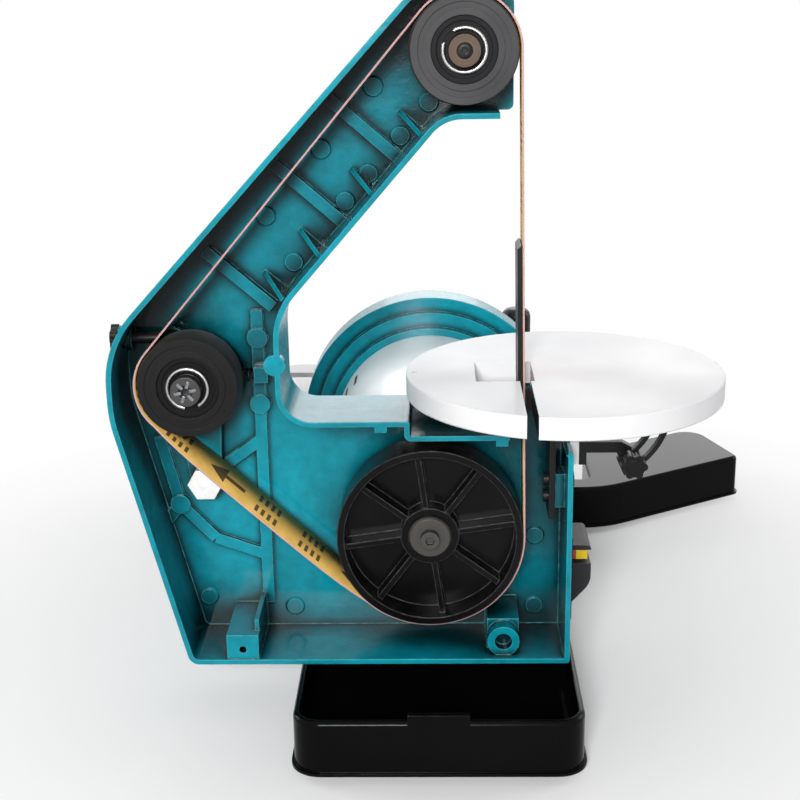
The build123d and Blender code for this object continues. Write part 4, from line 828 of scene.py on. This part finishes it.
def as_mesh(name: str, shape: bmesh.types.BMesh) -> Mesh:
    """Turns a finished bmesh into a mesh.

    Args:
        name: the mesh's name.
        shape: the bmesh, which is freed.

    Returns:
        The mesh.
    """
    bmesh.ops.recalc_face_normals(shape, faces=shape.faces)
    mesh = bpy.data.meshes.new(name)
    shape.to_mesh(mesh)
    shape.free()
    return mesh


def loft(name: str, rings: Sequence[Sequence[Sequence[float]]]) -> Mesh:
    """Joins rings of points by faces and closes both ends.

    Args:
        name: the mesh's name.
        rings: the rings in order, each with as many points.

    Returns:
        The mesh.
    """
    shape = bmesh.new()
    loops = [[shape.verts.new(point) for point in ring] for ring in rings]
    for lower, upper in zip(loops, loops[1:]):
        for k in range(len(lower)):
            after = (k + 1) % len(lower)
            shape.faces.new((lower[k], lower[after], upper[after], upper[k]))
    shape.faces.new(loops[0][::-1])
    shape.faces.new(loops[-1])
    return as_mesh(name, shape)


def bar(size: Sequence[float], edge: float) -> Mesh:
    """Makes a small bar with softened edges that stands on Z = 0.

    Args:
        size: its length, width and height.
        edge: how far its edges are cut back.

    Returns:
        The mesh.
    """
    shape = bmesh.new()
    bmesh.ops.create_cube(shape, size=1.0)
    bmesh.ops.scale(shape, vec=Vector(size), verts=shape.verts)
    bmesh.ops.translate(shape, vec=Vector((0, 0, size[2] / 2)), verts=shape.verts)
    bmesh.ops.bevel(shape, geom=list(shape.edges), offset=edge, segments=2, profile=0.5, affect="EDGES")
    return as_mesh("bar", shape)


def plate(size: Sequence[float], corner: float, cuts: int) -> Mesh:
    """Makes a thin plate on Z = 0 with cut corners, in strips across X so that it can be bent.

    Args:
        size: its width, length and thickness.
        corner: how far its ends are narrower at each side.
        cuts: how many strips it has.

    Returns:
        The mesh.
    """
    rings = []
    for k in range(cuts + 1):
        x = size[0] * (k / cuts - 0.5)
        half = size[1] / 2 - (corner if k in (0, cuts) else 0.0)
        rings.append([(x, -half, 0.0), (x, half, 0.0), (x, half, size[2]), (x, -half, size[2])])
    return loft("plate", rings)


def screw_head(radius: float, height: float, sides: int = 24) -> Mesh:
    """Makes a domed screw head with a cross recess that stands on Z = 0.

    Args:
        radius: the head's radius.
        height: the dome's height.
        sides: how many sides it has, a multiple of four.

    Returns:
        The mesh.
    """
    rings = [([radius * share] * sides, height * (1 - share ** 4)) for share in (1.0, 0.94, 0.75, 0.5)]
    cross = [radius * (0.46 if k % (sides // 4) == 0 else 0.16) for k in range(sides)]
    rings.append((cross, height * 0.35))
    turns = [FULL_TURN * k / sides for k in range(sides)]
    return loft("screw_head", [[(r * math.cos(a), r * math.sin(a), lift) for r, a in zip(reaches, turns)]
                               for reaches, lift in rings])


def bend(mesh: Mesh, radius: float) -> Mesh:
    """Bends a flat mesh that stands on Z = 0 round an axis along Y, a radius below it.

    Args:
        mesh: the mesh, which is changed.
        radius: how far below Z = 0 the axis lies.

    Returns:
        The same mesh, about that axis.
    """
    for vertex in mesh.vertices:
        across, along, up = vertex.co
        angle = across / radius
        vertex.co = ((radius + up) * math.sin(angle), along, (radius + up) * math.cos(angle))
    return mesh


@dataclass
class BeltDrive:
    """The belt, the three wheels that it runs on and what holds them. A wheel is its X, Z and radius."""

    ring: RingOfPieces
    drive: Triple = (-5.0 * MM, 130.0 * MM, 63.5 * MM)
    top: Triple = (19.2 * MM, 453.9 * MM, 35.0 * MM)
    tracking: Triple = (-164.7 * MM, 238.2 * MM, 35.0 * MM)
    middle_y: float = -122.0 * MM
    width: float = 25.4 * MM
    thickness: float = 1.2 * MM
    clearance: float = 0.3 * MM
    arc_step: float = math.radians(2.5)
    run_steps: int = 16
    slack_run: int = 1
    slack_lean: float = math.radians(17.0)
    follow_from: float = -20.0 * MM
    follow_all: float = -178.0 * MM
    ring_gap: float = math.radians(40.0)
    ring_width: float = 2.2 * MM
    hole_shade_r: float = 5.0 * MM
    hole_shade_rise: float = 0.2 * MM
    star_size: Triple = (5.0 * MM, 2.2 * MM, 0.4 * MM)
    star_edge: float = 0.15 * MM
    star_r: float = 5.2 * MM
    star_ribs: int = 6
    star_turn: float = 0.2
    spring_turns: float = 6.0
    spring_wire_r: float = 0.7 * MM
    spring_keep: float = 0.46

    def path(self) -> tuple[list[Vector], list[float]]:
        """Walks the middle of the belt once round the wheels.

        Returns:
            The points, from the seam on the top wheel back to the seam, and how far the belt leans at each.
        """
        grow = self.clearance + self.thickness / 2
        wheels = [(x, z, r + grow) for x, z, r in (self.top, self.tracking, self.drive)]
        normals = [self._outward(wheels[i], wheels[(i + 1) % 3]) for i in range(3)]
        points: list[Vector] = []
        leans: list[float] = []
        for i, (x, z, r) in enumerate(wheels):
            start = math.atan2(normals[i - 1][1], normals[i - 1][0])
            sweep = (math.atan2(normals[i][1], normals[i][0]) - start) % FULL_TURN
            count = max(4, round(sweep / self.arc_step))
            for k in range(count + 1):
                a = start + sweep * k / count
                points.append(Vector((x + r * math.cos(a), self.middle_y, z + r * math.sin(a))))
                leans.append(0.0)
            next_x, next_z, next_r = wheels[(i + 1) % 3]
            out_x, out_z = normals[i]
            last = points[-1].copy()
            landing = Vector((next_x + next_r * out_x, self.middle_y, next_z + next_r * out_z))
            for k in range(1, self.run_steps):
                share = k / self.run_steps
                points.append(last.lerp(landing, share))
                leans.append(self.slack_lean * (1 - (2 * share - 1) ** 4) if i == self.slack_run else 0.0)
        return points + [points[0].copy()], leans + [leans[0]]

    @staticmethod
    def _outward(first: Sequence[float], second: Sequence[float]) -> Pair:
        """Finds which way the belt's straight run from one wheel to the next faces.

        Args:
            first: the wheel that the run leaves.
            second: the wheel that it goes to.

        Returns:
            The run's outward normal along X and Z.
        """
        dx, dz = second[0] - first[0], second[1] - first[1]
        gap = math.hypot(dx, dz)
        dx, dz = dx / gap, dz / gap
        lean = (first[2] - second[2]) / gap
        side = math.sqrt(1 - lean * lean)
        return dx * lean + dz * side, dz * lean - dx * side

    def belt(self) -> None:
        """Sweeps the belt round its path, cloth inside and abrasive outside."""
        points, leans = self.path()
        mesh = bpy.data.meshes.new("belt_path")
        mesh.from_pydata([tuple(p) for p in points], [(i, i + 1) for i in range(len(points) - 1)], [])
        mesh.attributes.new("lean", "FLOAT", "POINT").data.foreach_set("value", leans)
        belt = BandOnPath().make("sanding_belt", mesh, Width=self.width, Thickness=self.thickness,
                                 Outside=BELT_GRIT.material(), Inside=BELT_CLOTH.material(),
                                 Edge=BELT_EDGE.material())
        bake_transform(belt)
        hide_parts("abrasive_belt")
        LOG.info("%s runs between frame and tension_arm", belt.name)

    def retaining_ring(self, strip: OpenRing, node: str, gap_at: float, body: str) -> None:
        """Replaces a plain ring on an axle's end by a spring ring with a gap.

        Args:
            strip: the tree that bends the ring.
            node: the CAD ring.
            gap_at: the angle of the gap's middle, from +X towards +Z.
            body: the body that the ring moves with.
        """
        low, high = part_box(node)
        piece = strip.make(node + "_spring", bpy.data.meshes.new(node + "_seed"),
                           Radius=(high[0] - low[0]) / 2 - self.ring_width / 2,
                           Start=gap_at + self.ring_gap / 2, Sweep=FULL_TURN - self.ring_gap,
                           Width=self.ring_width, Thickness=high[1] - low[1], Material=STEEL.material())
        put(piece, at(middle(node), "X", QUARTER_TURN), body)
        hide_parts(node)

    def spring(self) -> None:
        """Winds the tension spring as a fixed coil on the frame; the real spring shortens as the arm swings
        in, this coil does not.
        """
        low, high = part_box("tension_spring")
        _, y, z = middle("tension_spring")
        coil = CoilOfWire().make("tension_coil", bpy.data.meshes.new("coil_seed"), Turns=self.spring_turns,
                                 Radius=(high[2] - low[2]) / 2 - self.spring_wire_r,
                                 Height=high[0] - low[0] - 2 * self.spring_wire_r, Wire=self.spring_wire_r,
                                 Material=DARK_STEEL.material())
        put(coil, at((low[0] + self.spring_wire_r, y, z), "Y", QUARTER_TURN), "frame")
        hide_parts("tension_spring")
        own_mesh(coil)

    def axle_ends(self) -> None:
        """Stamps a star of ribs on the tracking axle's end and lays a thin black disc on the top axle's end,
        painted shade where its bore is.
        """
        star = self.ring.make("axle_star", bar(self.star_size, self.star_edge), Count=self.star_ribs,
                              Radius=self.star_r, Start=self.star_turn, Step=FULL_TURN / self.star_ribs,
                              Material=STAR.material())
        # A thin black disc over the top axle's bore: painted shade.
        hole_shade = self.ring.make("axle_hole_shade", screw_head(self.hole_shade_r, self.hole_shade_rise), Count=1,
                              Material=BLACK_STEEL_AND_SHADE.material())
        for piece, wheel, axle, body in ((star, self.tracking, "tracking_axle", "tension_arm"),
                                         (hole_shade, self.top, "top_axle", "frame")):
            end_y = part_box(axle)[0][1]
            put(piece, at((wheel[0], end_y, wheel[1]), "X", QUARTER_TURN), body)

    def build(self) -> None:
        """Makes the belt and trim and finishes the wheels."""
        self.belt()
        self.spring()
        self.axle_ends()
        strip = OpenRing()
        self.retaining_ring(strip, "top_retaining_ring", math.radians(140.0), "frame")
        self.retaining_ring(strip, "tracking_retaining_ring", math.radians(-80.0), "tension_arm")
        dress(RUBBER, "tracking_wheel")
        dress(TOP_RUBBER, "top_wheel")
        dress(WHEEL, "drive_wheel")
        dress(PLASTIC, "tracking_knob")
        dress(TURNED, "tracking_axle")
        dress(TOP_AXLE, "top_axle")
        dress(WASHER, "hub_washer", "hub_screw")
        dress(SHIELD, "top_bearings", "tracking_bearings")
        dress(DARK_STEEL, "top_axle_nut")
        dress(ZINC, "tension_bolt")
        dress(TEAL, "tension_arm")
        dress(BLACK_STEEL_AND_SHADE, "platen", "platen_bracket", "platen_screws")


@dataclass
class BeltHousing:
    """The open cast housing and the small table in front of the belt.

    The pads on the housing's floor stand in two rows that run down the arm from the top wheel's axle, each
    at its own gap beside the arm's line, and at four places in the box. All of these are in millimetres.
    """

    ring: RingOfPieces
    table_under: float = 230.3 * MM
    slit_x: Pair = (54.0 * MM, 62.0 * MM)
    slit_end: float = -152.0 * MM
    pin_place: Triple = (-14.6 * MM, -126.2 * MM, 245.5 * MM)
    pin_r: float = 2.0 * MM
    pin_rise: float = 0.3 * MM
    pad_r: float = 5.8 * MM
    pad_foot: float = 7.2 * MM
    pad_rise: float = 1.4 * MM
    pad_root: float = -95.8 * MM
    arm_slope: float = math.radians(48.8)
    outer_pads: tuple[float, ...] = (57.0, 110.0, 168.0)
    outer_gap: float = 28.0
    inner_pads: tuple[float, ...] = (41.0, 69.5, 102.0, 126.0, 180.0)
    inner_gap: float = -6.0
    box_pads: tuple[Pair, ...] = ((-103.0, 62.0), (69.0, 62.0), (69.0, 116.0), (-165.0, 70.0))

    def pad_caps(self) -> None:
        """Gives the moulding pads on the housing's floor their slanted rims."""
        top = middle("top_axle")
        cos, sin = math.cos(self.arm_slope), math.sin(self.arm_slope)
        rows = [(along * MM, self.outer_gap * MM) for along in self.outer_pads]
        rows += [(along * MM, self.inner_gap * MM) for along in self.inner_pads]
        places = [(top.x - along * cos - out * sin, top.z - along * sin + out * cos) for along, out in rows]
        places += [(x * MM, z * MM) for x, z in self.box_pads]
        seed = bpy.data.meshes.new("pad_seed")
        seed.from_pydata([(x, self.pad_root, z) for x, z in places], [], [])
        caps = PadsOnPoints().make("pad_caps", seed, Radius=self.pad_r, Foot=self.pad_foot,
                                   Height=self.pad_rise, Material=TEAL.material())
        put(caps, Matrix.Identity(4), "frame")

    def painted_dark(self, face: MeshPolygon) -> bool:
        """Tells whether a face of the table is painted dark: its underside, and the slit's walls, where the
        dark is painted shade.

        Args:
            face: the face.

        Returns:
            True where it is painted dark.
        """
        x, y, z = face.center
        in_slit = self.slit_x[0] < x < self.slit_x[1] and y < self.slit_end and abs(face.normal.x) > 0.9
        return z < self.table_under or in_slit

    def table_pin(self) -> None:
        """Sets a small levelling screw in the belt table's left edge."""
        pin = self.ring.make("table_pin", screw_head(self.pin_r, self.pin_rise), Count=1,
                             Material=STEEL.material())
        put(pin, at(self.pin_place), "belt_table")

    def build(self) -> None:
        """Finishes the housing, the belt table and its clamp."""
        self.table_pin()
        self.pad_caps()
        dress(TEAL, "belt_housing")
        dress(WHITE, "belt_table", "table_post")
        # The table's underside takes the black finish, and so do the slit's walls, as painted shade.
        dress_where(BLACK_STEEL_AND_SHADE, "belt_table", self.painted_dark)
        dress(BLACK_STEEL_AND_SHADE, "lock_arm", "table_pivot_pin", "table_lock_nut")
        dress(PLASTIC, "table_lock_knob")
        dress(DARK_STEEL, "post_bolts", "motor_bolts")


@dataclass
class Motor:
    """The motor, its foot, its capacitor cover and the switch."""

    ring: RingOfPieces
    grid: GridOfPieces
    axis_x: float = -5.0 * MM
    axis_z: float = 130.0 * MM
    shell_r: float = 79.0 * MM
    vent_rows: Pair = (-58.0 * MM, 78.0 * MM)
    vent_size: Triple = (22.0 * MM, 3.2 * MM, 0.3 * MM)
    vent_edge: float = 0.1 * MM
    vent_count: int = 9
    vent_step: float = math.radians(10.0)
    plate_size: Triple = (40.0 * MM, 58.0 * MM, 0.5 * MM)
    plate_corner: float = 2.0 * MM
    plate_strips: int = 12
    plate_y: float = 26.0 * MM
    plate_angle: float = math.radians(30.0)
    rivet_r: float = 1.6 * MM
    rivet_h: float = 0.7 * MM
    rivet_inset: float = 4.0 * MM
    cover_screw_r: float = 2.6 * MM
    cover_screw_h: float = 1.2 * MM
    cover_screw_inset: float = 7.0 * MM

    def vents(self) -> None:
        """Lays a row of thin black bars on both sides of the shell, at each end, that stand for the air slots
        as painted shade.
        """
        reach = self.vent_step * (self.vent_count - 1) / 2
        for row, y in enumerate(self.vent_rows, 1):
            for side, centre in (("right", 0.0), ("left", math.pi)):
                slot = bar(self.vent_size, self.vent_edge)
                slot.transform(Matrix.Rotation(QUARTER_TURN, 4, "Y"))
                # The black of these bars is painted shade of open slots.
                slots = self.ring.make(f"motor_vents_{side}_{row}", slot, Count=self.vent_count,
                                       Radius=self.shell_r, Start=centre - reach, Step=self.vent_step,
                                       Material=BLACK_STEEL_AND_SHADE.material())
                put(slots, at((self.axis_x, y, self.axis_z), "X", -QUARTER_TURN), "frame")

    def data_plate(self) -> None:
        """Rivets a bare plate on the shell's right side."""
        wide, long, thick = self.plate_size
        place = at((self.axis_x, self.plate_y, self.axis_z), "Y", QUARTER_TURN - self.plate_angle)
        flat = plate(self.plate_size, self.plate_corner, self.plate_strips)
        sheet = stand("motor_plate", bend(flat, self.shell_r))
        sheet.data.materials.append(PLATE.material())
        put(sheet, place, "frame")
        rivets = self.grid.make("motor_plate_rivets", screw_head(self.rivet_r, self.rivet_h), Columns=2,
                                Rows=2, Width=wide - 2 * self.rivet_inset,
                                Height=long - 2 * self.rivet_inset, Material=STEEL.material())
        bend(rivets.data, self.shell_r + thick)
        put(rivets, place, "frame")

    def cover_screws(self) -> None:
        """Puts four screws on the capacitor cover's outer face."""
        low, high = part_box("capacitor_cover")
        _, y, z = middle("capacitor_cover")
        inset = 2 * self.cover_screw_inset
        screws = self.grid.make("cover_screws", screw_head(self.cover_screw_r, self.cover_screw_h), Columns=2,
                                Rows=2, Width=high[2] - low[2] - inset, Height=high[1] - low[1] - inset,
                                Material=DARK_STEEL.material())
        put(screws, at((low[0], y, z), "Y", -QUARTER_TURN), "frame")

    def build(self) -> None:
        """Makes the motor's trim and finishes it and its switch."""
        self.vents()
        self.data_plate()
        self.cover_screws()
        dress(MOTOR, "motor_shell", "end_bells", "motor_foot", "capacitor_cover")
        dress(DARK_STEEL, "motor_rotor", "motor_stator", "foot_bolts")
        dress(COPPER, "motor_windings")
        dress(TURNED, "motor_shaft", "shaft_bearings")
        dress(SWITCH, "switch_box", "switch_bezel", "cable_gland")
        dress(RED, "switch_paddle")
        dress(YELLOW, "safety_key")


@dataclass
class DiscUnit:
    """The disc, its shroud, the tilting table and the mitre gauge."""

    ring: RingOfPieces
    scale_step: float = math.radians(5.0)
    mark_edge: float = 0.03 * MM
    mitre_mark: Triple = (5.0 * MM, 0.5 * MM, 0.15 * MM)
    mitre_r: float = 45.0 * MM
    mitre_rise: float = 8.0 * MM
    mitre_marks: int = 25
    tilt_mark: Triple = (4.4 * MM, 0.7 * MM, 0.15 * MM)
    tilt_pivot: Pair = (168.0 * MM, 111.0 * MM)
    tilt_r: float = 54.8 * MM
    tilt_start: float = math.radians(-100.0)
    tilt_marks: int = 10

    def mitre_scale(self) -> None:
        """Cuts the angle marks along the round edge of the mitre gauge."""
        marks = self.ring.make("mitre_scale", bar(self.mitre_mark, self.mark_edge), Count=self.mitre_marks,
                               Radius=self.mitre_r, Start=-self.scale_step * (self.mitre_marks - 1) / 2,
                               Step=self.scale_step, Material=BLACK_STEEL_AND_SHADE.material())
        x, y, _ = middle("mitre_knob")
        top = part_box("mitre_head")[0][2] + self.mitre_rise
        put(marks, at((x, y, top)), "mitre_head")

    def tilt_scales(self) -> None:
        """Marks the tilt, five degrees apart, on the rims of both trunnions."""
        low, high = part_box("trunnions")
        y, z = self.tilt_pivot
        for name, x, side in (("tilt_scale_left", low[0], -1.0), ("tilt_scale_right", high[0], 1.0)):
            marks = self.ring.make(name, bar(self.tilt_mark, self.mark_edge), Count=self.tilt_marks,
                                   Radius=self.tilt_r, Start=side * self.tilt_start,
                                   Step=side * self.scale_step, Material=BLACK_STEEL_AND_SHADE.material())
            place = Matrix(((0, 0, side, x), (1, 0, 0, y), (0, side, 0, z), (0, 0, 0, 1)))
            put(marks, place, "disc_table")

    def build(self) -> None:
        """Makes the scales and finishes the disc end."""
        self.mitre_scale()
        self.tilt_scales()
        dress(OPEN_TEAL, "disc_shroud")
        dress(WHITE, "disc_table", "trunnions", "trunnion_brackets")
        dress(ALUMINIUM, "disc_plate", "mitre_head")
        dress(DISC_GRIT, "abrasive_disc")
        dress(BAR_STEEL, "mitre_bar")
        dress(DARK_STEEL, "disc_set_screw", "bracket_screws", "disc_pivot_pins", "disc_guide_bolt")
        dress(PLASTIC, "disc_lock_knob", "mitre_knob")


@dataclass
class Base:
    """The black base and its feet."""

    def build(self) -> None:
        """Finishes the base."""
        dress(BLACK, "base_casting")
        dress(RUBBER, "rubber_feet")


@dataclass(frozen=True)
class Lamp:
    """One soft lamp: where it stands, its width and height, and its power in watts."""

    name: str
    place: Triple
    size: Pair
    power: float


@dataclass
class Studio:
    """The pale floor, the soft light and the camera at the photo's angle."""

    place: Triple = (0.53 * MM, -1041.67 * MM, 506.4 * MM)
    pitch: float = 0.297
    yaw: float = -0.027
    roll: float = -0.016
    lens: float = 64.46
    sensor: float = 36.0
    view_end: float = 60.0
    floor_size: float = 14.0
    floor_colour: str = "#fdfdfd"
    bounce_colour: str = "#a0a0a0"
    floor_fade: Pair = (0.2, 0.6)
    room_colour: str = "#ffffff"
    room_light: float = 0.18
    aim: Triple = (0.0, -0.02, 0.2)
    lamps: tuple[Lamp, ...] = (
        Lamp("key", (-0.25, -2.35, 1.0), (0.6, 0.6), 60.0), Lamp("right", (2.3, 0.8, 1.0), (1.2, 1.2), 20.0),
        Lamp("left", (-2.3, 0.8, 1.0), (1.2, 1.2), 20.0), Lamp("top", (0.1, 0.4, 2.2), (1.6, 1.6), 3.0),
        Lamp("back", (0.0, 3.2, 1.3), (4.2, 1.2), 42.0))

    def camera(self) -> None:
        """Sets the camera where the photo was taken from."""
        data = bpy.data.cameras.new("camera")
        data.lens = self.lens
        data.sensor_width = self.sensor
        data.clip_end = self.view_end
        camera = stand("camera", data)
        tilt = Matrix.Rotation(QUARTER_TURN - self.pitch, 4, "X") @ Matrix.Rotation(self.roll, 4, "Z")
        camera.matrix_world = at(self.place, "Z", -self.yaw) @ tilt
        bpy.context.scene.camera = camera

    def light(self) -> None:
        """Lights the object evenly from a white room and soft lamps."""
        for lamp in self.lamps:
            data = bpy.data.lights.new(lamp.name, "AREA")
            data.shape = "RECTANGLE"
            data.size, data.size_y = lamp.size
            data.energy = lamp.power
            holder = stand(lamp.name, data)
            holder.visible_camera = False
            turn = (Vector(self.aim) - Vector(lamp.place)).to_track_quat("-Z", "Y").to_matrix().to_4x4()
            holder.matrix_world = Matrix.Translation(lamp.place) @ turn
        world = bpy.data.worlds.new("room")
        bpy.context.scene.world = world
        w = Wiring(empty_tree(world))
        strength = w.span(w.seen(), 0.0, 1.0, self.room_light, 1.0)
        sky = w.out("ShaderNodeBackground", {"Color": self.room_colour, "Strength": strength})
        w.add("ShaderNodeOutputWorld", {"Surface": sky})

    def floor(self) -> None:
        """Lays a plain pale floor that keeps the shadow and fades to white far off."""
        half = self.floor_size / 2
        mesh = bpy.data.meshes.new("floor")
        corners = [(-half, -half, 0), (half, -half, 0), (half, half, 0), (-half, half, 0)]
        mesh.from_pydata(corners, [], [(0, 1, 2, 3)])
        floor = stand("floor", mesh)
        material = bpy.data.materials.new("pale_floor")
        w = Wiring(empty_tree(material))
        spot = w.out("ShaderNodeTexCoord", take="Object")
        away = w.out("ShaderNodeVectorMath", {0: spot}, "Value", operation="LENGTH")
        seen = w.seen()
        far = w.times(w.span(away, *self.floor_fade), seen)
        tone = w.blend(seen, self.bounce_colour, self.floor_colour)
        matt = w.out("ShaderNodeBsdfDiffuse", {"Color": tone})
        white = w.out("ShaderNodeEmission", {"Color": self.room_colour, "Strength": 1.0})
        both = w.out("ShaderNodeMixShader", {0: far, 1: matt, 2: white})
        w.add("ShaderNodeOutputMaterial", {"Surface": both})
        mesh.materials.append(material)

    def build(self) -> None:
        """Sets the stage."""
        bpy.context.scene.view_settings.view_transform = "Standard"
        self.floor()
        self.light()
        self.camera()


def main() -> None:
    """Dresses the sander, piece by piece, and sets the stage."""
    ring = RingOfPieces()
    grid = GridOfPieces()
    Base().build()
    Motor(ring, grid).build()
    BeltHousing(ring).build()
    BeltDrive(ring).build()
    DiscUnit(ring).build()
    Studio().build()


if __name__ == "__main__":
    main()
